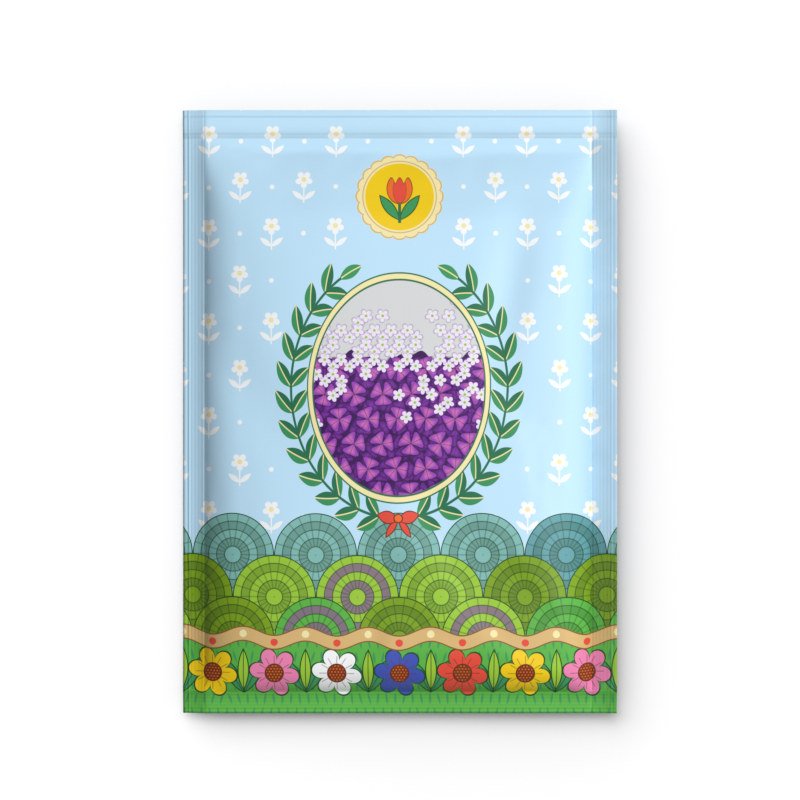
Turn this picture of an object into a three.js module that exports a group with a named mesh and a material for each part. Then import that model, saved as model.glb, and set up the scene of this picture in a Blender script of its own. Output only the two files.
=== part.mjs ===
// A sealed film packet of oxalis bulbs, lying on its back with its printed face up.
//
// Millimetres, +Z up, +Y towards the head of the packet. The origin is on the surface that the
// packet lies on, below the middle of its outline. Two films meet in four pressed seals. Between
// the seals the front film is crowned over the air inside, and the back film bellies down to the
// surface. Five scaly bulbs lie loose on the back film.

import * as THREE from 'three';
import { mergeGeometries, mergeVertices } from 'three/addons/utils/BufferGeometryUtils.js';

// The outline and the films.
const PACKET_WIDTH = 130;
const PACKET_LENGTH = 180.6;
const FILM = 0.6; // measured straight up
const SEAL_GAP = 0.3; // between the two films
const SEAL_HEIGHT = 7.4; // from the surface to the middle of the seals
const FACE_RISE = 11; // of the front film above its seals
const BACK_SAG = 7.3; // of the back film below its seals, before the surface flattens it
const PANEL_COLUMNS = 14; // facets of the crowned panel, across and along
const PANEL_ROWS = 20;

// The crown is the sum of a rim, which rises close to the seals all round, and a body, which the
// bulbs fill out towards the foot. At the sides and the foot a higher power keeps a film flat for
// longer and then steeper. At the head a strip stays flat, and then the film rises in a rounded ramp.
const RIM_SHARE = 0.49;
const RIM_ROUNDING = { left: 10, right: 20, foot: 24, headRamp: 0.24 };
const BODY_ROUNDING = { left: 2.5, right: 10, foot: 14, headRamp: 0.68 };
const HEAD_STRIP = 0.03; // as a share of half the panel's length, like the ramps
const HEAD_POWER = 1.4; // of the ramps

// The seals. Each has a plain margin at the cut edge, then pressed ribs, then a plain land. It falls
// by one slope where it leaves the panel, and by another at its cut edge. Below 0 it rises.
const RIB_PITCH = 1.05;
const RIB_HEIGHT = 0.22;
const LEFT_SEAL = { width: 6.7, margin: 1.35, ribs: 5, slope: 0.6, edgeSlope: 0.14 };
const RIGHT_SEAL = { width: 7.5, margin: 1.15, ribs: 6, slope: -0.08, edgeSlope: -0.17 };
const FOOT_SEAL = { width: 6.6, margin: 1.25, ribs: 5, slope: 0.55, edgeSlope: -0.15 };
const HEAD_SEAL = { width: 8.4, margin: 1.9, ribs: 5, slope: -0.18, edgeSlope: 0.06 };

// Soft dents in the front film: the middle, the two half lengths, the turn and the depth.
const DENTS = [
  { x: -43, y: 4, along: 27, across: 10.5, turn: -54, depth: 1.3 }, // slants in from the left flank
  { x: 32.5, y: 36, along: 23, across: 6.2, turn: 81, depth: 1.4 }, // runs down the right of the face
];

// The bulbs, by length and greatest thickness, the place of the middle, and the turn of the tip.
const BULBS = [
  { length: 34, girth: 10.5, x: -18, y: -42, turn: 25 },
  { length: 29, girth: 9.6, x: 12, y: -51, turn: -15 },
  { length: 36, girth: 11, x: 21, y: -22, turn: 70 },
  { length: 26, girth: 9, x: -22, y: -14, turn: 130 },
  { length: 31, girth: 10, x: 2, y: 7, turn: 190 },
];
const BULB_GAP = 0.3; // between a bulb and the film below it
const SCALE_ROWS = 8; // of a bulb, from its base to its tip
const SCALES_ROUND = 4; // in each row
const FACETS_PER_SCALE = 4;
const SCALE_LIFT = 0.16; // of the free edge of a scale, as a share of the radius there
const SCALE_POINT = 0.6; // how far a scale reaches past its neighbours' edges, in rows

const FILM_FINISH = { color: 0xbfe0f2, roughness: 0.5, metalness: 0 };
const BACK_FINISH = { color: 0x9fd0ea, roughness: 0.5, metalness: 0 };
const BULB_FINISH = { color: 0xa9705c, roughness: 0.8, metalness: 0 };

// The cut edges, and the inner lines of the seals where the crowned panel starts.
const EDGE = { left: -PACKET_WIDTH / 2, right: PACKET_WIDTH / 2, foot: -PACKET_LENGTH / 2, head: PACKET_LENGTH / 2 };
const PANEL = {
  left: EDGE.left + LEFT_SEAL.width,
  right: EDGE.right - RIGHT_SEAL.width,
  foot: EDGE.foot + FOOT_SEAL.width,
  head: EDGE.head - HEAD_SEAL.width,
};

// How far a point is between two lines, from -1 at the first to 1 at the second.
const between = (value, first, second) => (2 * value - first - second) / (second - first);

// How much of a crown is left at a point, from 0 on the seals and outside them to 1 in the middle.
function rounded(x, y, rounding) {
  const across = between(x, PANEL.left, PANEL.right);
  const along = between(y, PANEL.foot, PANEL.head);
  const fade = (place, power) => Math.max(0, 1 - Math.abs(place) ** power);
  const downRamp = THREE.MathUtils.clamp(1 - (1 - HEAD_STRIP - along) / rounding.headRamp, 0, 1);
  return fade(across, across < 0 ? rounding.left : rounding.right)
    * fade(Math.min(0, along), rounding.foot) * fade(downRamp, HEAD_POWER);
}

// The crown of the panel, from 0 on the seals and outside them to 1 in the middle.
const crown = (x, y) =>
  RIM_SHARE * rounded(x, y, RIM_ROUNDING) + (1 - RIM_SHARE) * rounded(x, y, BODY_ROUNDING);

// How far the four seals have fallen below the panel's lines at a point.
function sealFall(x, y) {
  const fall = (seal, outward) => {
    const share = Math.max(0, outward) / seal.width;
    return seal.width * (seal.slope * share + ((seal.edgeSlope - seal.slope) * share ** 1.7) / 1.7);
  };
  return fall(LEFT_SEAL, PANEL.left - x) + fall(RIGHT_SEAL, x - PANEL.right)
    + fall(FOOT_SEAL, PANEL.foot - y) + fall(HEAD_SEAL, y - PANEL.head);
}

// The depth of the soft dents at a point of the face.
function dentDepth(x, y) {
  let depth = 0;
  for (const dent of DENTS) {
    const turn = THREE.MathUtils.degToRad(dent.turn);
    const offset = new THREE.Vector2(x - dent.x, y - dent.y).rotateAround(new THREE.Vector2(), -turn);
    depth += dent.depth * Math.exp(-((offset.x / dent.along) ** 2) - (offset.y / dent.across) ** 2);
  }
  return depth;
}

// The height of the ribs of one seal, at a distance in from the cut edge that it runs along.
function ribHeight(seal, inward) {
  const turns = (inward - seal.margin) / RIB_PITCH;
  if (turns <= 0 || turns >= seal.ribs) return 0;
  const place = turns - Math.floor(turns);
  return RIB_HEIGHT * (1 - Math.abs(2 * place - 1));
}

// The height of the ribs at a point. Where two seals cross, the higher rib shows.
function ribs(x, y) {
  return Math.max(
    ribHeight(LEFT_SEAL, x - EDGE.left),
    ribHeight(RIGHT_SEAL, EDGE.right - x),
    ribHeight(FOOT_SEAL, y - EDGE.foot),
    ribHeight(HEAD_SEAL, EDGE.head - y),
  );
}

// The height of the middle of the seals, which both films start from.
const seam = (x, y) => SEAL_HEIGHT - sealFall(x, y);

const faceInner = (x, y) =>
  seam(x, y) + SEAL_GAP / 2 + crown(x, y) * FACE_RISE - rounded(x, y, RIM_ROUNDING) * dentDepth(x, y);
const faceOuter = (x, y) => faceInner(x, y) + FILM + ribs(x, y);
const backOuter = (x, y) =>
  Math.max(0, seam(x, y) - SEAL_GAP / 2 - FILM - crown(x, y) * BACK_SAG) - ribs(x, y);
const backInner = (x, y) => backOuter(x, y) + ribs(x, y) + FILM;

// The lines of a seal, inward from its cut edge: the margin, then each foot and crest of its ribs.
function sealLines(seal) {
  const lines = [0];
  for (let half = 0; half <= 2 * seal.ribs; half += 1) lines.push(seal.margin + (half * RIB_PITCH) / 2);
  return lines;
}

// The lines of the panel, from one seal to the other, closer together on the steep flanks.
function panelLines(first, second, count) {
  return Array.from({ length: count + 1 }, (_, index) => {
    const share = (1 - Math.cos((Math.PI * index) / count)) / 2;
    return first + share * (second - first);
  });
}

// The lines that cross each film, from one cut edge to the other.
function filmLines(edges, seals, panel) {
  return [
    ...sealLines(seals[0]).map((inward) => edges[0] + inward),
    ...panel,
    ...sealLines(seals[1]).map((inward) => edges[1] - inward).reverse(),
  ];
}

const LINES = {
  x: filmLines([EDGE.left, EDGE.right], [LEFT_SEAL, RIGHT_SEAL], panelLines(PANEL.left, PANEL.right, PANEL_COLUMNS)),
  y: filmLines([EDGE.foot, EDGE.head], [FOOT_SEAL, HEAD_SEAL], panelLines(PANEL.foot, PANEL.head, PANEL_ROWS)),
};

// The place and the face order alone, so that meshes can be joined at their shared points.
function bare(geometry) {
  geometry.deleteAttribute('normal');
  geometry.deleteAttribute('uv');
  return geometry;
}

// Turns every face of a mesh round.
function flipped(geometry) {
  const order = geometry.index.array;
  for (let i = 0; i < order.length; i += 3) [order[i + 1], order[i + 2]] = [order[i + 2], order[i + 1]];
  return geometry;
}

// A sheet of facets over the grid of lines, at the height that a function gives.
function sheet(height) {
  const columns = LINES.x.length;
  const geometry = new THREE.PlaneGeometry(1, 1, columns - 1, LINES.y.length - 1);
  const points = geometry.attributes.position;
  const fromHead = LINES.y.toReversed();
  for (let i = 0; i < points.count; i += 1) {
    const x = LINES.x[i % columns];
    const y = fromHead[Math.floor(i / columns)];
    points.setXYZ(i, x, y, height(x, y));
  }
  return bare(geometry);
}

// The wall along one cut edge, from a corner of the outline to the next one round.
function cutWall(start, end, upper, lower) {
  const run = end.clone().sub(start);
  const direction = run.clone().normalize();
  // The crossing lines of a sheet, as distances from the start, in order, each with its height.
  const profile = (height) => {
    const stops = Math.abs(direction.x) > Math.abs(direction.y)
      ? LINES.x.map((x) => (x - start.x) * direction.x)
      : LINES.y.map((y) => (y - start.y) * direction.y);
    return stops.sort((a, b) => a - b).map((stop) => {
      const place = start.clone().addScaledVector(direction, stop);
      return new THREE.Vector2(stop, height(place.x, place.y));
    });
  };
  const outline = [...profile(lower), ...profile(upper).reverse()];
  const up = new THREE.Vector3(0, 0, 1);
  const place = new THREE.Matrix4()
    .makeBasis(direction, up, direction.clone().cross(up))
    .setPosition(start);
  return bare(new THREE.ShapeGeometry(new THREE.Shape(outline))).applyMatrix4(place);
}

// One film as a closed body, between an upper and a lower sheet.
function film(name, finish, upper, lower) {
  const corners = [
    new THREE.Vector3(EDGE.left, EDGE.foot, 0),
    new THREE.Vector3(EDGE.right, EDGE.foot, 0),
    new THREE.Vector3(EDGE.right, EDGE.head, 0),
    new THREE.Vector3(EDGE.left, EDGE.head, 0),
  ];
  const walls = corners.map((corner, i) =>
    cutWall(corner, corners[(i + 1) % corners.length], upper, lower));
  const body = mergeVertices(
    mergeGeometries([sheet(upper), flipped(sheet(lower)), ...walls]),
    1e-3,
  );
  body.computeVertexNormals();
  const mesh = new THREE.Mesh(body, new THREE.MeshStandardMaterial(finish));
  mesh.name = name;
  return mesh;
}

// The radius of a bulb at a share of its length from the base, without its scales.
function bulbRadius(bulb, share) {
  return (bulb.girth / 2 / (1 + SCALE_LIFT)) * Math.sin(Math.PI * share ** 0.75) ** 0.62;
}

// A bulb as a lathed body. Each row of scales swells towards its free edge and then drops back
// under the next row, and the edge reaches further towards the tip in the middle of each scale.
function bulbBody(bulb) {
  const profile = [new THREE.Vector2(0, 0)];
  for (let row = 0; row < SCALE_ROWS; row += 1) {
    const foot = (row + 0.25) / (SCALE_ROWS + 0.5);
    const edge = (row + 0.9) / (SCALE_ROWS + 0.5);
    profile.push(new THREE.Vector2(bulbRadius(bulb, foot), foot * bulb.length));
    profile.push(new THREE.Vector2(bulbRadius(bulb, edge) * (1 + SCALE_LIFT), edge * bulb.length));
  }
  profile.push(new THREE.Vector2(0, bulb.length));
  const body = new THREE.LatheGeometry(profile, SCALES_ROUND * FACETS_PER_SCALE);
  const points = body.attributes.position;
  const rowLength = bulb.length / (SCALE_ROWS + 0.5);
  for (let i = 0; i < points.count; i += 1) {
    const ring = i % profile.length;
    const isEdge = ring > 0 && ring < profile.length - 1 && ring % 2 === 0;
    if (!isEdge) continue;
    const around = Math.atan2(points.getX(i), points.getZ(i));
    const halfTurn = (ring / 2) % 2 === 0 ? Math.PI : 0; // every other row sits between the last
    const lobe = (1 + Math.cos(SCALES_ROUND * around + halfTurn)) / 2;
    const swell = 1 - (1 - lobe) * SCALE_LIFT * 0.6;
    points.setXYZ(
      i,
      points.getX(i) * swell,
      points.getY(i) + (lobe - 0.5) * SCALE_POINT * rowLength * 0.8,
      points.getZ(i) * swell,
    );
  }
  return mergeVertices(bare(body), 1e-3);
}

// A bulb laid down on the back film, pointing the way that it is turned.
function bulbNode(bulb, index) {
  const body = bulbBody(bulb);
  body.translate(0, -bulb.length / 2, 0);
  body.rotateZ(THREE.MathUtils.degToRad(bulb.turn - 90));
  body.computeBoundingBox();
  const mesh = new THREE.Mesh(body, new THREE.MeshStandardMaterial(BULB_FINISH));
  mesh.name = `bulb_${index + 1}`;
  mesh.position.set(bulb.x, bulb.y, FILM + BULB_GAP - body.boundingBox.min.z);
  body.computeVertexNormals();
  return mesh;
}

const packet = new THREE.Group();
packet.name = 'bulb_packet';
packet.add(film('front_film', FILM_FINISH, faceOuter, faceInner));
packet.add(film('back_film', BACK_FINISH, backInner, backOuter));
packet.add(...BULBS.map(bulbNode));

export default packet;
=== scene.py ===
"""The looks of a sealed film packet of flower bulbs, lying on its back with its printed face up.

Two thin printed films meet in four pressed seals, over air and five loose scaly bulbs. The classes
hold their sizes in millimetres, and the flat print is drawn in them. The meshes are in metres, in the
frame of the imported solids.
"""

import logging
import math
from collections.abc import Callable
from dataclasses import dataclass, field
from enum import Enum

import bpy
import numpy as np
from bpy.types import Light, Material, Mesh, Node, NodeSocket, NodeTree, Object
from mathutils import Matrix, Vector
from mathutils.bvhtree import BVHTree


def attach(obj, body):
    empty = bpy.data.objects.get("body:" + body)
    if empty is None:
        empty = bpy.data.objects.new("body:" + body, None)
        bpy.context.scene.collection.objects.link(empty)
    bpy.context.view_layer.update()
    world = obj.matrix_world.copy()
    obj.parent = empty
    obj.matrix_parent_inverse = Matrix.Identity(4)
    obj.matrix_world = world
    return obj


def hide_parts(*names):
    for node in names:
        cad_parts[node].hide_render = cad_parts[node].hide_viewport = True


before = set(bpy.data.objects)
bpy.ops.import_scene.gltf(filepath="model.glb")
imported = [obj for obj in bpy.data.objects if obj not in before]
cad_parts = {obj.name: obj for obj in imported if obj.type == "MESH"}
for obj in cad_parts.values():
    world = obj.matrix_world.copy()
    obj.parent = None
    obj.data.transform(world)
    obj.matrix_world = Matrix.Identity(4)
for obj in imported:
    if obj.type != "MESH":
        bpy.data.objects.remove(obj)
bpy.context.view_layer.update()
LOG = logging.getLogger("packet")
MM = 0.001
TURN = 2 * math.pi
GOLDEN_TURN = math.pi * (3 - math.sqrt(5))
PRINT_MAP = "print"
BAKE_MAP = "OFBake"
FLAT_PLACE = "flat"
FACE_PART = "part"
SCALE_LOT = "scale_lot"
SEAL_NAMES = ("Left", "Right", "Foot", "Head")
SEAL_FACTS = ("Margin", "Ribs", "Worn", "Fade")
FILM_FACTS = ("Width", "Length", "Rib Pitch", "Rib Height", "Groove Width", "Groove Depth")
INKED = {"Color": "Color", "Cover": "Float"}
Rgba = tuple[float, float, float, float]
Direction = tuple[float, float, float]


# ----------------------------------------
# Numbers, places and inks that nodes work out


def add_node(
    tree: NodeTree, kind: str, inputs: dict | None = None, **settings: str | bool | NodeTree
) -> Node:
    """Adds a node.

    Args:
        tree: The tree to add it to.
        kind: The kind of node.
        inputs: The wires or plain values of its inputs, by their names or numbers.
        settings: Its settings.

    Returns:
        The node.
    """
    node = tree.nodes.new(kind)
    for name, value in settings.items():
        setattr(node, name, value)
    for name, value in (inputs or {}).items():
        plug(value, node.inputs[name])
    return node


class Wire:
    """What a node puts out. Where that is a number, sums on it add nodes."""

    def __init__(self, socket: NodeSocket) -> None:
        """Holds an output socket and the tree that it belongs to."""
        self.socket = socket
        self.tree = socket.id_data

    def math(self, operation: str, *others: "Wire | float", clamp: bool = False) -> "Wire":
        """Adds one Math node that starts from this number.

        Args:
            operation: The node's operation.
            others: The node's other inputs, as wires or plain numbers.
            clamp: Whether the result stays between 0 and 1.

        Returns:
            The node's result.
        """
        values = dict(enumerate((self, *others)))
        node = add_node(self.tree, "ShaderNodeMath", values, operation=operation, use_clamp=clamp)
        return Wire(node.outputs[0])

    def __add__(self, other: "Wire | float") -> "Wire":
        """The sum of both."""
        return self.math("ADD", other)

    def __sub__(self, other: "Wire | float") -> "Wire":
        """The first less the second."""
        return self.math("SUBTRACT", other)

    def __mul__(self, other: "Wire | float") -> "Wire":
        """The product of both."""
        return self.math("MULTIPLY", other)

    def __truediv__(self, other: "Wire | float") -> "Wire":
        """The first over the second."""
        return self.math("DIVIDE", other)

    def __abs__(self) -> "Wire":
        """The number without its sign."""
        return self.math("ABSOLUTE")

    __radd__ = __add__
    __rmul__ = __mul__

    def __rsub__(self, other: float) -> "Wire":
        """A plain number less this one."""
        return self.math("MULTIPLY_ADD", -1.0, other)

    def least(self, other: "Wire | float") -> "Wire":
        """The lower of both, which joins two shapes that are given by their distances."""
        return self.math("MINIMUM", other)

    def most(self, other: "Wire | float") -> "Wire":
        """The higher of both, which keeps only what two shapes share."""
        return self.math("MAXIMUM", other)

    def above(self, other: "Wire | float") -> "Wire":
        """1 where this number is the higher one, and else 0."""
        return self.math("GREATER_THAN", other)

    def share(self) -> "Wire":
        """The number, kept between 0 and 1."""
        return self.math("MAXIMUM", 0.0, clamp=True)

    def floor(self) -> "Wire":
        """The whole number at or below."""
        return self.math("FLOOR")

    def odd(self) -> "Wire":
        """1 for an odd whole number and 0 for an even one."""
        return self.math("FLOORED_MODULO", 2.0)

    def cover(self, softness: float = 0.12) -> "Wire":
        """How far ink covers a shape that is given by the distance to its outline.

        Args:
            softness: The width over which the ink's edge fades, in millimetres.

        Returns:
            1 inside the shape, where the distance is under zero, and 0 outside.
        """
        return self.math("MULTIPLY_ADD", -1 / softness, 0.5, clamp=True)

    def stroke(self, width: float) -> "Wire":
        """The cover of a line of some width, drawn along the outline."""
        return (abs(self) - width / 2).cover()


def plug(value: Wire | float | tuple, socket: NodeSocket) -> None:
    """Feeds an input.

    Args:
        value: The wire that feeds it, or a plain value to set it to.
        socket: The input.
    """
    if isinstance(value, Wire):
        socket.id_data.links.new(value.socket, socket)
    else:
        socket.default_value = value


@dataclass(frozen=True)
class Spot:
    """A place on the flat print, in millimetres from the middle of a motif."""

    x: Wire
    y: Wire

    def moved(self, x: float = 0.0, y: float = 0.0) -> "Spot":
        """The same place, from a motif whose middle is at x and y."""
        return Spot(self.x - x, self.y - y)

    def turned(self, degrees: float) -> "Spot":
        """The same place, from a motif that is turned anticlockwise.

        Args:
            degrees: How far the motif is turned.

        Returns:
            The place.
        """
        cosine, sine = math.cos(math.radians(degrees)), math.sin(math.radians(degrees))
        return Spot(
            self.x.math("MULTIPLY_ADD", cosine, self.y * sine),
            self.y.math("MULTIPLY_ADD", cosine, self.x * -sine),
        )

    def radius(self) -> Wire:
        """Measures the place from the middle.

        Returns:
            The distance.
        """
        vector = {0: joined(self.x, self.y)}
        node = add_node(self.x.tree, "ShaderNodeVectorMath", vector, operation="LENGTH")
        return Wire(node.outputs["Value"])

    def angle(self) -> Wire:
        """The direction from the middle, anticlockwise from the right, in radians."""
        return self.y.math("ARCTAN2", self.x)


def joined(x: Wire, y: Wire, z: Wire | float = 0.0) -> Wire:
    """Joins two or three numbers in a vector."""
    return Wire(add_node(x.tree, "ShaderNodeCombineXYZ", {0: x, 1: y, 2: z}).outputs[0])


def parted(vector: Wire) -> tuple[Wire, ...]:
    """Parts a vector in its three numbers."""
    node = add_node(vector.tree, "ShaderNodeSeparateXYZ", {0: vector})
    return tuple(Wire(number) for number in node.outputs)


def noise_at(place: Wire, scale: float, detail: float = 2.0, seed: Wire | None = None) -> Wire:
    """Makes smooth noise.

    Args:
        place: The place, in metres.
        scale: How many bumps there are to a metre.
        detail: How many times finer bumps are added.
        seed: Where it is given, each number gives other noise.

    Returns:
        The noise, from 0 to 1.
    """
    values = {"Vector": place, "Scale": scale, "Detail": detail}
    node = add_node(place.tree, "ShaderNodeTexNoise", values)
    if seed is not None:
        node.noise_dimensions = "4D"
        plug(seed, node.inputs["W"])
    return Wire(node.outputs["Fac"])


@dataclass(frozen=True)
class Tile:
    """One repeat of a tiled pattern: the place in it, its column and its row."""

    spot: Spot
    column: Wire
    row: Wire

    def lot(self, seed: float = 0.5) -> Wire:
        """Draws a number for the tile, the same each time.

        Args:
            seed: Each one gives other numbers.

        Returns:
            The number, from 0 to 1.
        """
        values = {"Vector": joined(self.column, self.row, seed)}
        node = add_node(self.row.tree, "ShaderNodeTexWhiteNoise", values, noise_dimensions="3D")
        return Wire(node.outputs["Value"])


def tiled(spot: Spot, width: float, height: float, drop: float = 0.5) -> Tile:
    """Repeats a motif over the print.

    Args:
        spot: The place on the whole pattern.
        width: From one column to the next.
        height: From one row to the next.
        drop: How far every other row is moved sideways, in columns.

    Returns:
        The tile that the place is in.
    """
    row = (spot.y / height).floor()
    shifted = row.odd().math("MULTIPLY_ADD", drop * width, spot.x)
    column = (shifted / width).floor()
    here = Spot(
        shifted - (column + 0.5) * width,
        spot.y - (row + 0.5) * height,
    )
    return Tile(here, column, row)


class Ink(Enum):
    """The inks of the print, as plain display colours."""

    SKY = "c2e7fe"
    CREAM = "f7ebb0"
    WHITE = "fafcfd"
    PALE_GREY = "d9dadc"
    BOTTLE_GREEN = "26734f"
    MID_GREEN = "3f9a5e"
    LEAF_GREEN = "5db548"
    GRASS_GREEN = "9ccb3b"
    LIME = "bfe04a"
    MOSS = "7fa51c"
    LINE_GREEN = "1f4a1c"
    TEAL = "84bdb7"
    DEEP_TEAL = "62a0a8"
    TAN = "dcb87a"
    BROWN = "8a5a2c"
    SEED_BROWN = "6b3216"
    MAUVE = "8b6a8a"
    YELLOW = "f5cf16"
    ORANGE = "f2702c"
    RED = "e8503f"
    PINK = "ee86b4"
    BLUE = "4257b8"
    LILAC = "efe6f7"
    PURPLE = "6a2190"
    DEEP_PURPLE = "3a0f55"
    BRIGHT_PURPLE = "9a45b8"

    @property
    def rgba(self) -> Rgba:
        """The ink as light, for a colour socket.

        Returns:
            Its red, green and blue, and 1 for its cover.
        """
        shown = (int(self.value[i : i + 2], 16) / 255 for i in (0, 2, 4))
        light = (c / 12.92 if c <= 0.04045 else ((c + 0.055) / 1.055) ** 2.4 for c in shown)
        return (*light, 1.0)


class Print:
    """Inks laid one over another on a ground colour."""

    def __init__(self, tree: NodeTree, ground: Ink | Rgba) -> None:
        """Starts from the ground."""
        self.tree = tree
        self.colour = ground

    def lay(self, cover: Wire, ink: Ink | Rgba | Wire, blend: str = "MIX") -> "Print":
        """Lays one ink over the print.

        Args:
            cover: How far the ink covers, from 0 to 1.
            ink: The ink, a plain colour, or one that varies.
            blend: How the node blends it with what is below.

        Returns:
            This print.
        """
        below, above = (
            colour.rgba if isinstance(colour, Ink) else colour for colour in (self.colour, ink)
        )
        values = {0: cover, 6: below, 7: above}
        node = add_node(self.tree, "ShaderNodeMix", values, data_type="RGBA", blend_type=blend)
        self.colour = Wire(node.outputs[2])
        return self

    def lay_shape(self, shape: Wire, ink: Ink, line: Ink, width: float = 0.35) -> None:
        """Lays a shape in one ink, and then its outline in another."""
        self.lay(shape.cover(), ink).lay(shape.stroke(width), line)

    def lay_motif(self, motif: "Group", spot: Spot) -> None:
        """Lays a motif for a place on the print, by the motif's own cover and colour."""
        placed = placed_motif(self.tree, motif, spot)
        self.lay(placed["Cover"], placed["Color"])


def picked(choice: Wire, inks: tuple[Ink, ...]) -> Wire:
    """Picks one of several inks by a number from 0 to 1.

    Args:
        choice: The number.
        inks: The inks, each with an equal share of the range.

    Returns:
        The colour.
    """
    ramp = add_node(choice.tree, "ShaderNodeValToRGB", {"Fac": choice})
    ramp.color_ramp.interpolation = "CONSTANT"
    stops = ramp.color_ramp.elements
    while len(stops) < len(inks):
        stops.new(1.0)
    for index, (stop, ink) in enumerate(zip(stops, inks)):
        stop.position = index / len(inks)
        stop.color = ink.rgba
    return Wire(ramp.outputs["Color"])


@dataclass
class Group:
    """A node group that is being made: its tree, its inputs as wires, and its output node."""

    tree: NodeTree
    inputs: dict[str, Wire]
    out: Node

    def put(self, name: str, value: Wire) -> None:
        """Feeds one of the group's outputs."""
        plug(value, self.out.inputs[name])


def new_group(name: str, inputs: dict[str, float], outputs: dict[str, str]) -> Group:
    """Starts a shader node group.

    Args:
        name: The group's name.
        inputs: Each number that goes in, with its usual value.
        outputs: Each output, with its kind of socket: Color, Float or Vector.

    Returns:
        The group, ready for its nodes.
    """
    tree = bpy.data.node_groups.new(name, "ShaderNodeTree")
    for label, usual in inputs.items():
        socket = tree.interface.new_socket(label, in_out="INPUT", socket_type="NodeSocketFloat")
        socket.default_value = usual
    for label, kind in outputs.items():
        tree.interface.new_socket(label, in_out="OUTPUT", socket_type=f"NodeSocket{kind}")
    source = add_node(tree, "NodeGroupInput")
    wires = {label: Wire(source.outputs[label]) for label in inputs}
    return Group(tree, wires, add_node(tree, "NodeGroupOutput"))


def placed_group(tree: NodeTree, group: Group, **values: Wire | float) -> dict[str, Wire]:
    """Places a node group in a tree.

    Args:
        tree: The tree of a material or of another group.
        group: The group to place.
        values: Its inputs by name, with underscores for spaces.

    Returns:
        Its outputs by name.
    """
    given = {label.replace("_", " "): value for label, value in values.items()}
    node = add_node(tree, "ShaderNodeGroup", given, node_tree=group.tree)
    return {socket.name: Wire(socket) for socket in node.outputs}


def motif_group(name: str, outputs: dict[str, str]) -> tuple[Group, Spot]:
    """Starts the group of a motif, and returns it with the place on the print that goes in."""
    group = new_group(name, {"X": 0.0, "Y": 0.0}, outputs)
    return group, Spot(group.inputs["X"], group.inputs["Y"])


def placed_motif(tree: NodeTree, motif: Group, spot: Spot) -> dict[str, Wire]:
    """Places a motif for a place on the print, and returns its outputs by name."""
    return placed_group(tree, motif, X=spot.x, Y=spot.y)


# ----------------------------------------
# Motifs, each given by the distance to its outline in millimetres


def blossom(spot: Spot, radius: float, petals: int, waist: float, turn: float = 0.0) -> Wire:
    """A flower with rounded petals.

    Args:
        spot: The place, from the flower's middle.
        radius: From the middle to a petal's tip.
        petals: How many there are.
        waist: Where two petals meet, as a share of the radius.
        turn: Turns the flower, in radians.

    Returns:
        The distance to the outline.
    """
    swing = abs((spot.angle() * (petals / 2) + turn).math("COSINE")).math("POWER", 0.6)
    return spot.radius() - swing.math("MULTIPLY_ADD", radius * (1 - waist), radius * waist)


def lens(spot: Spot, length: float, width: float) -> Wire:
    """A leaf along X with a point at each end, as the distance to its outline."""
    belly = (spot.x * (2 / length)).math("POWER", 2.0) - 1.0
    return belly.math("MULTIPLY_ADD", width / 2, abs(spot.y))


def overlap(first: Wire, second: Wire, corner: float) -> Wire:
    """What two shapes share, with its corners rounded, as the distance to its outline."""
    return Spot((first + corner).most(0.0), (second + corner).most(0.0)).radius() - corner


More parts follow.
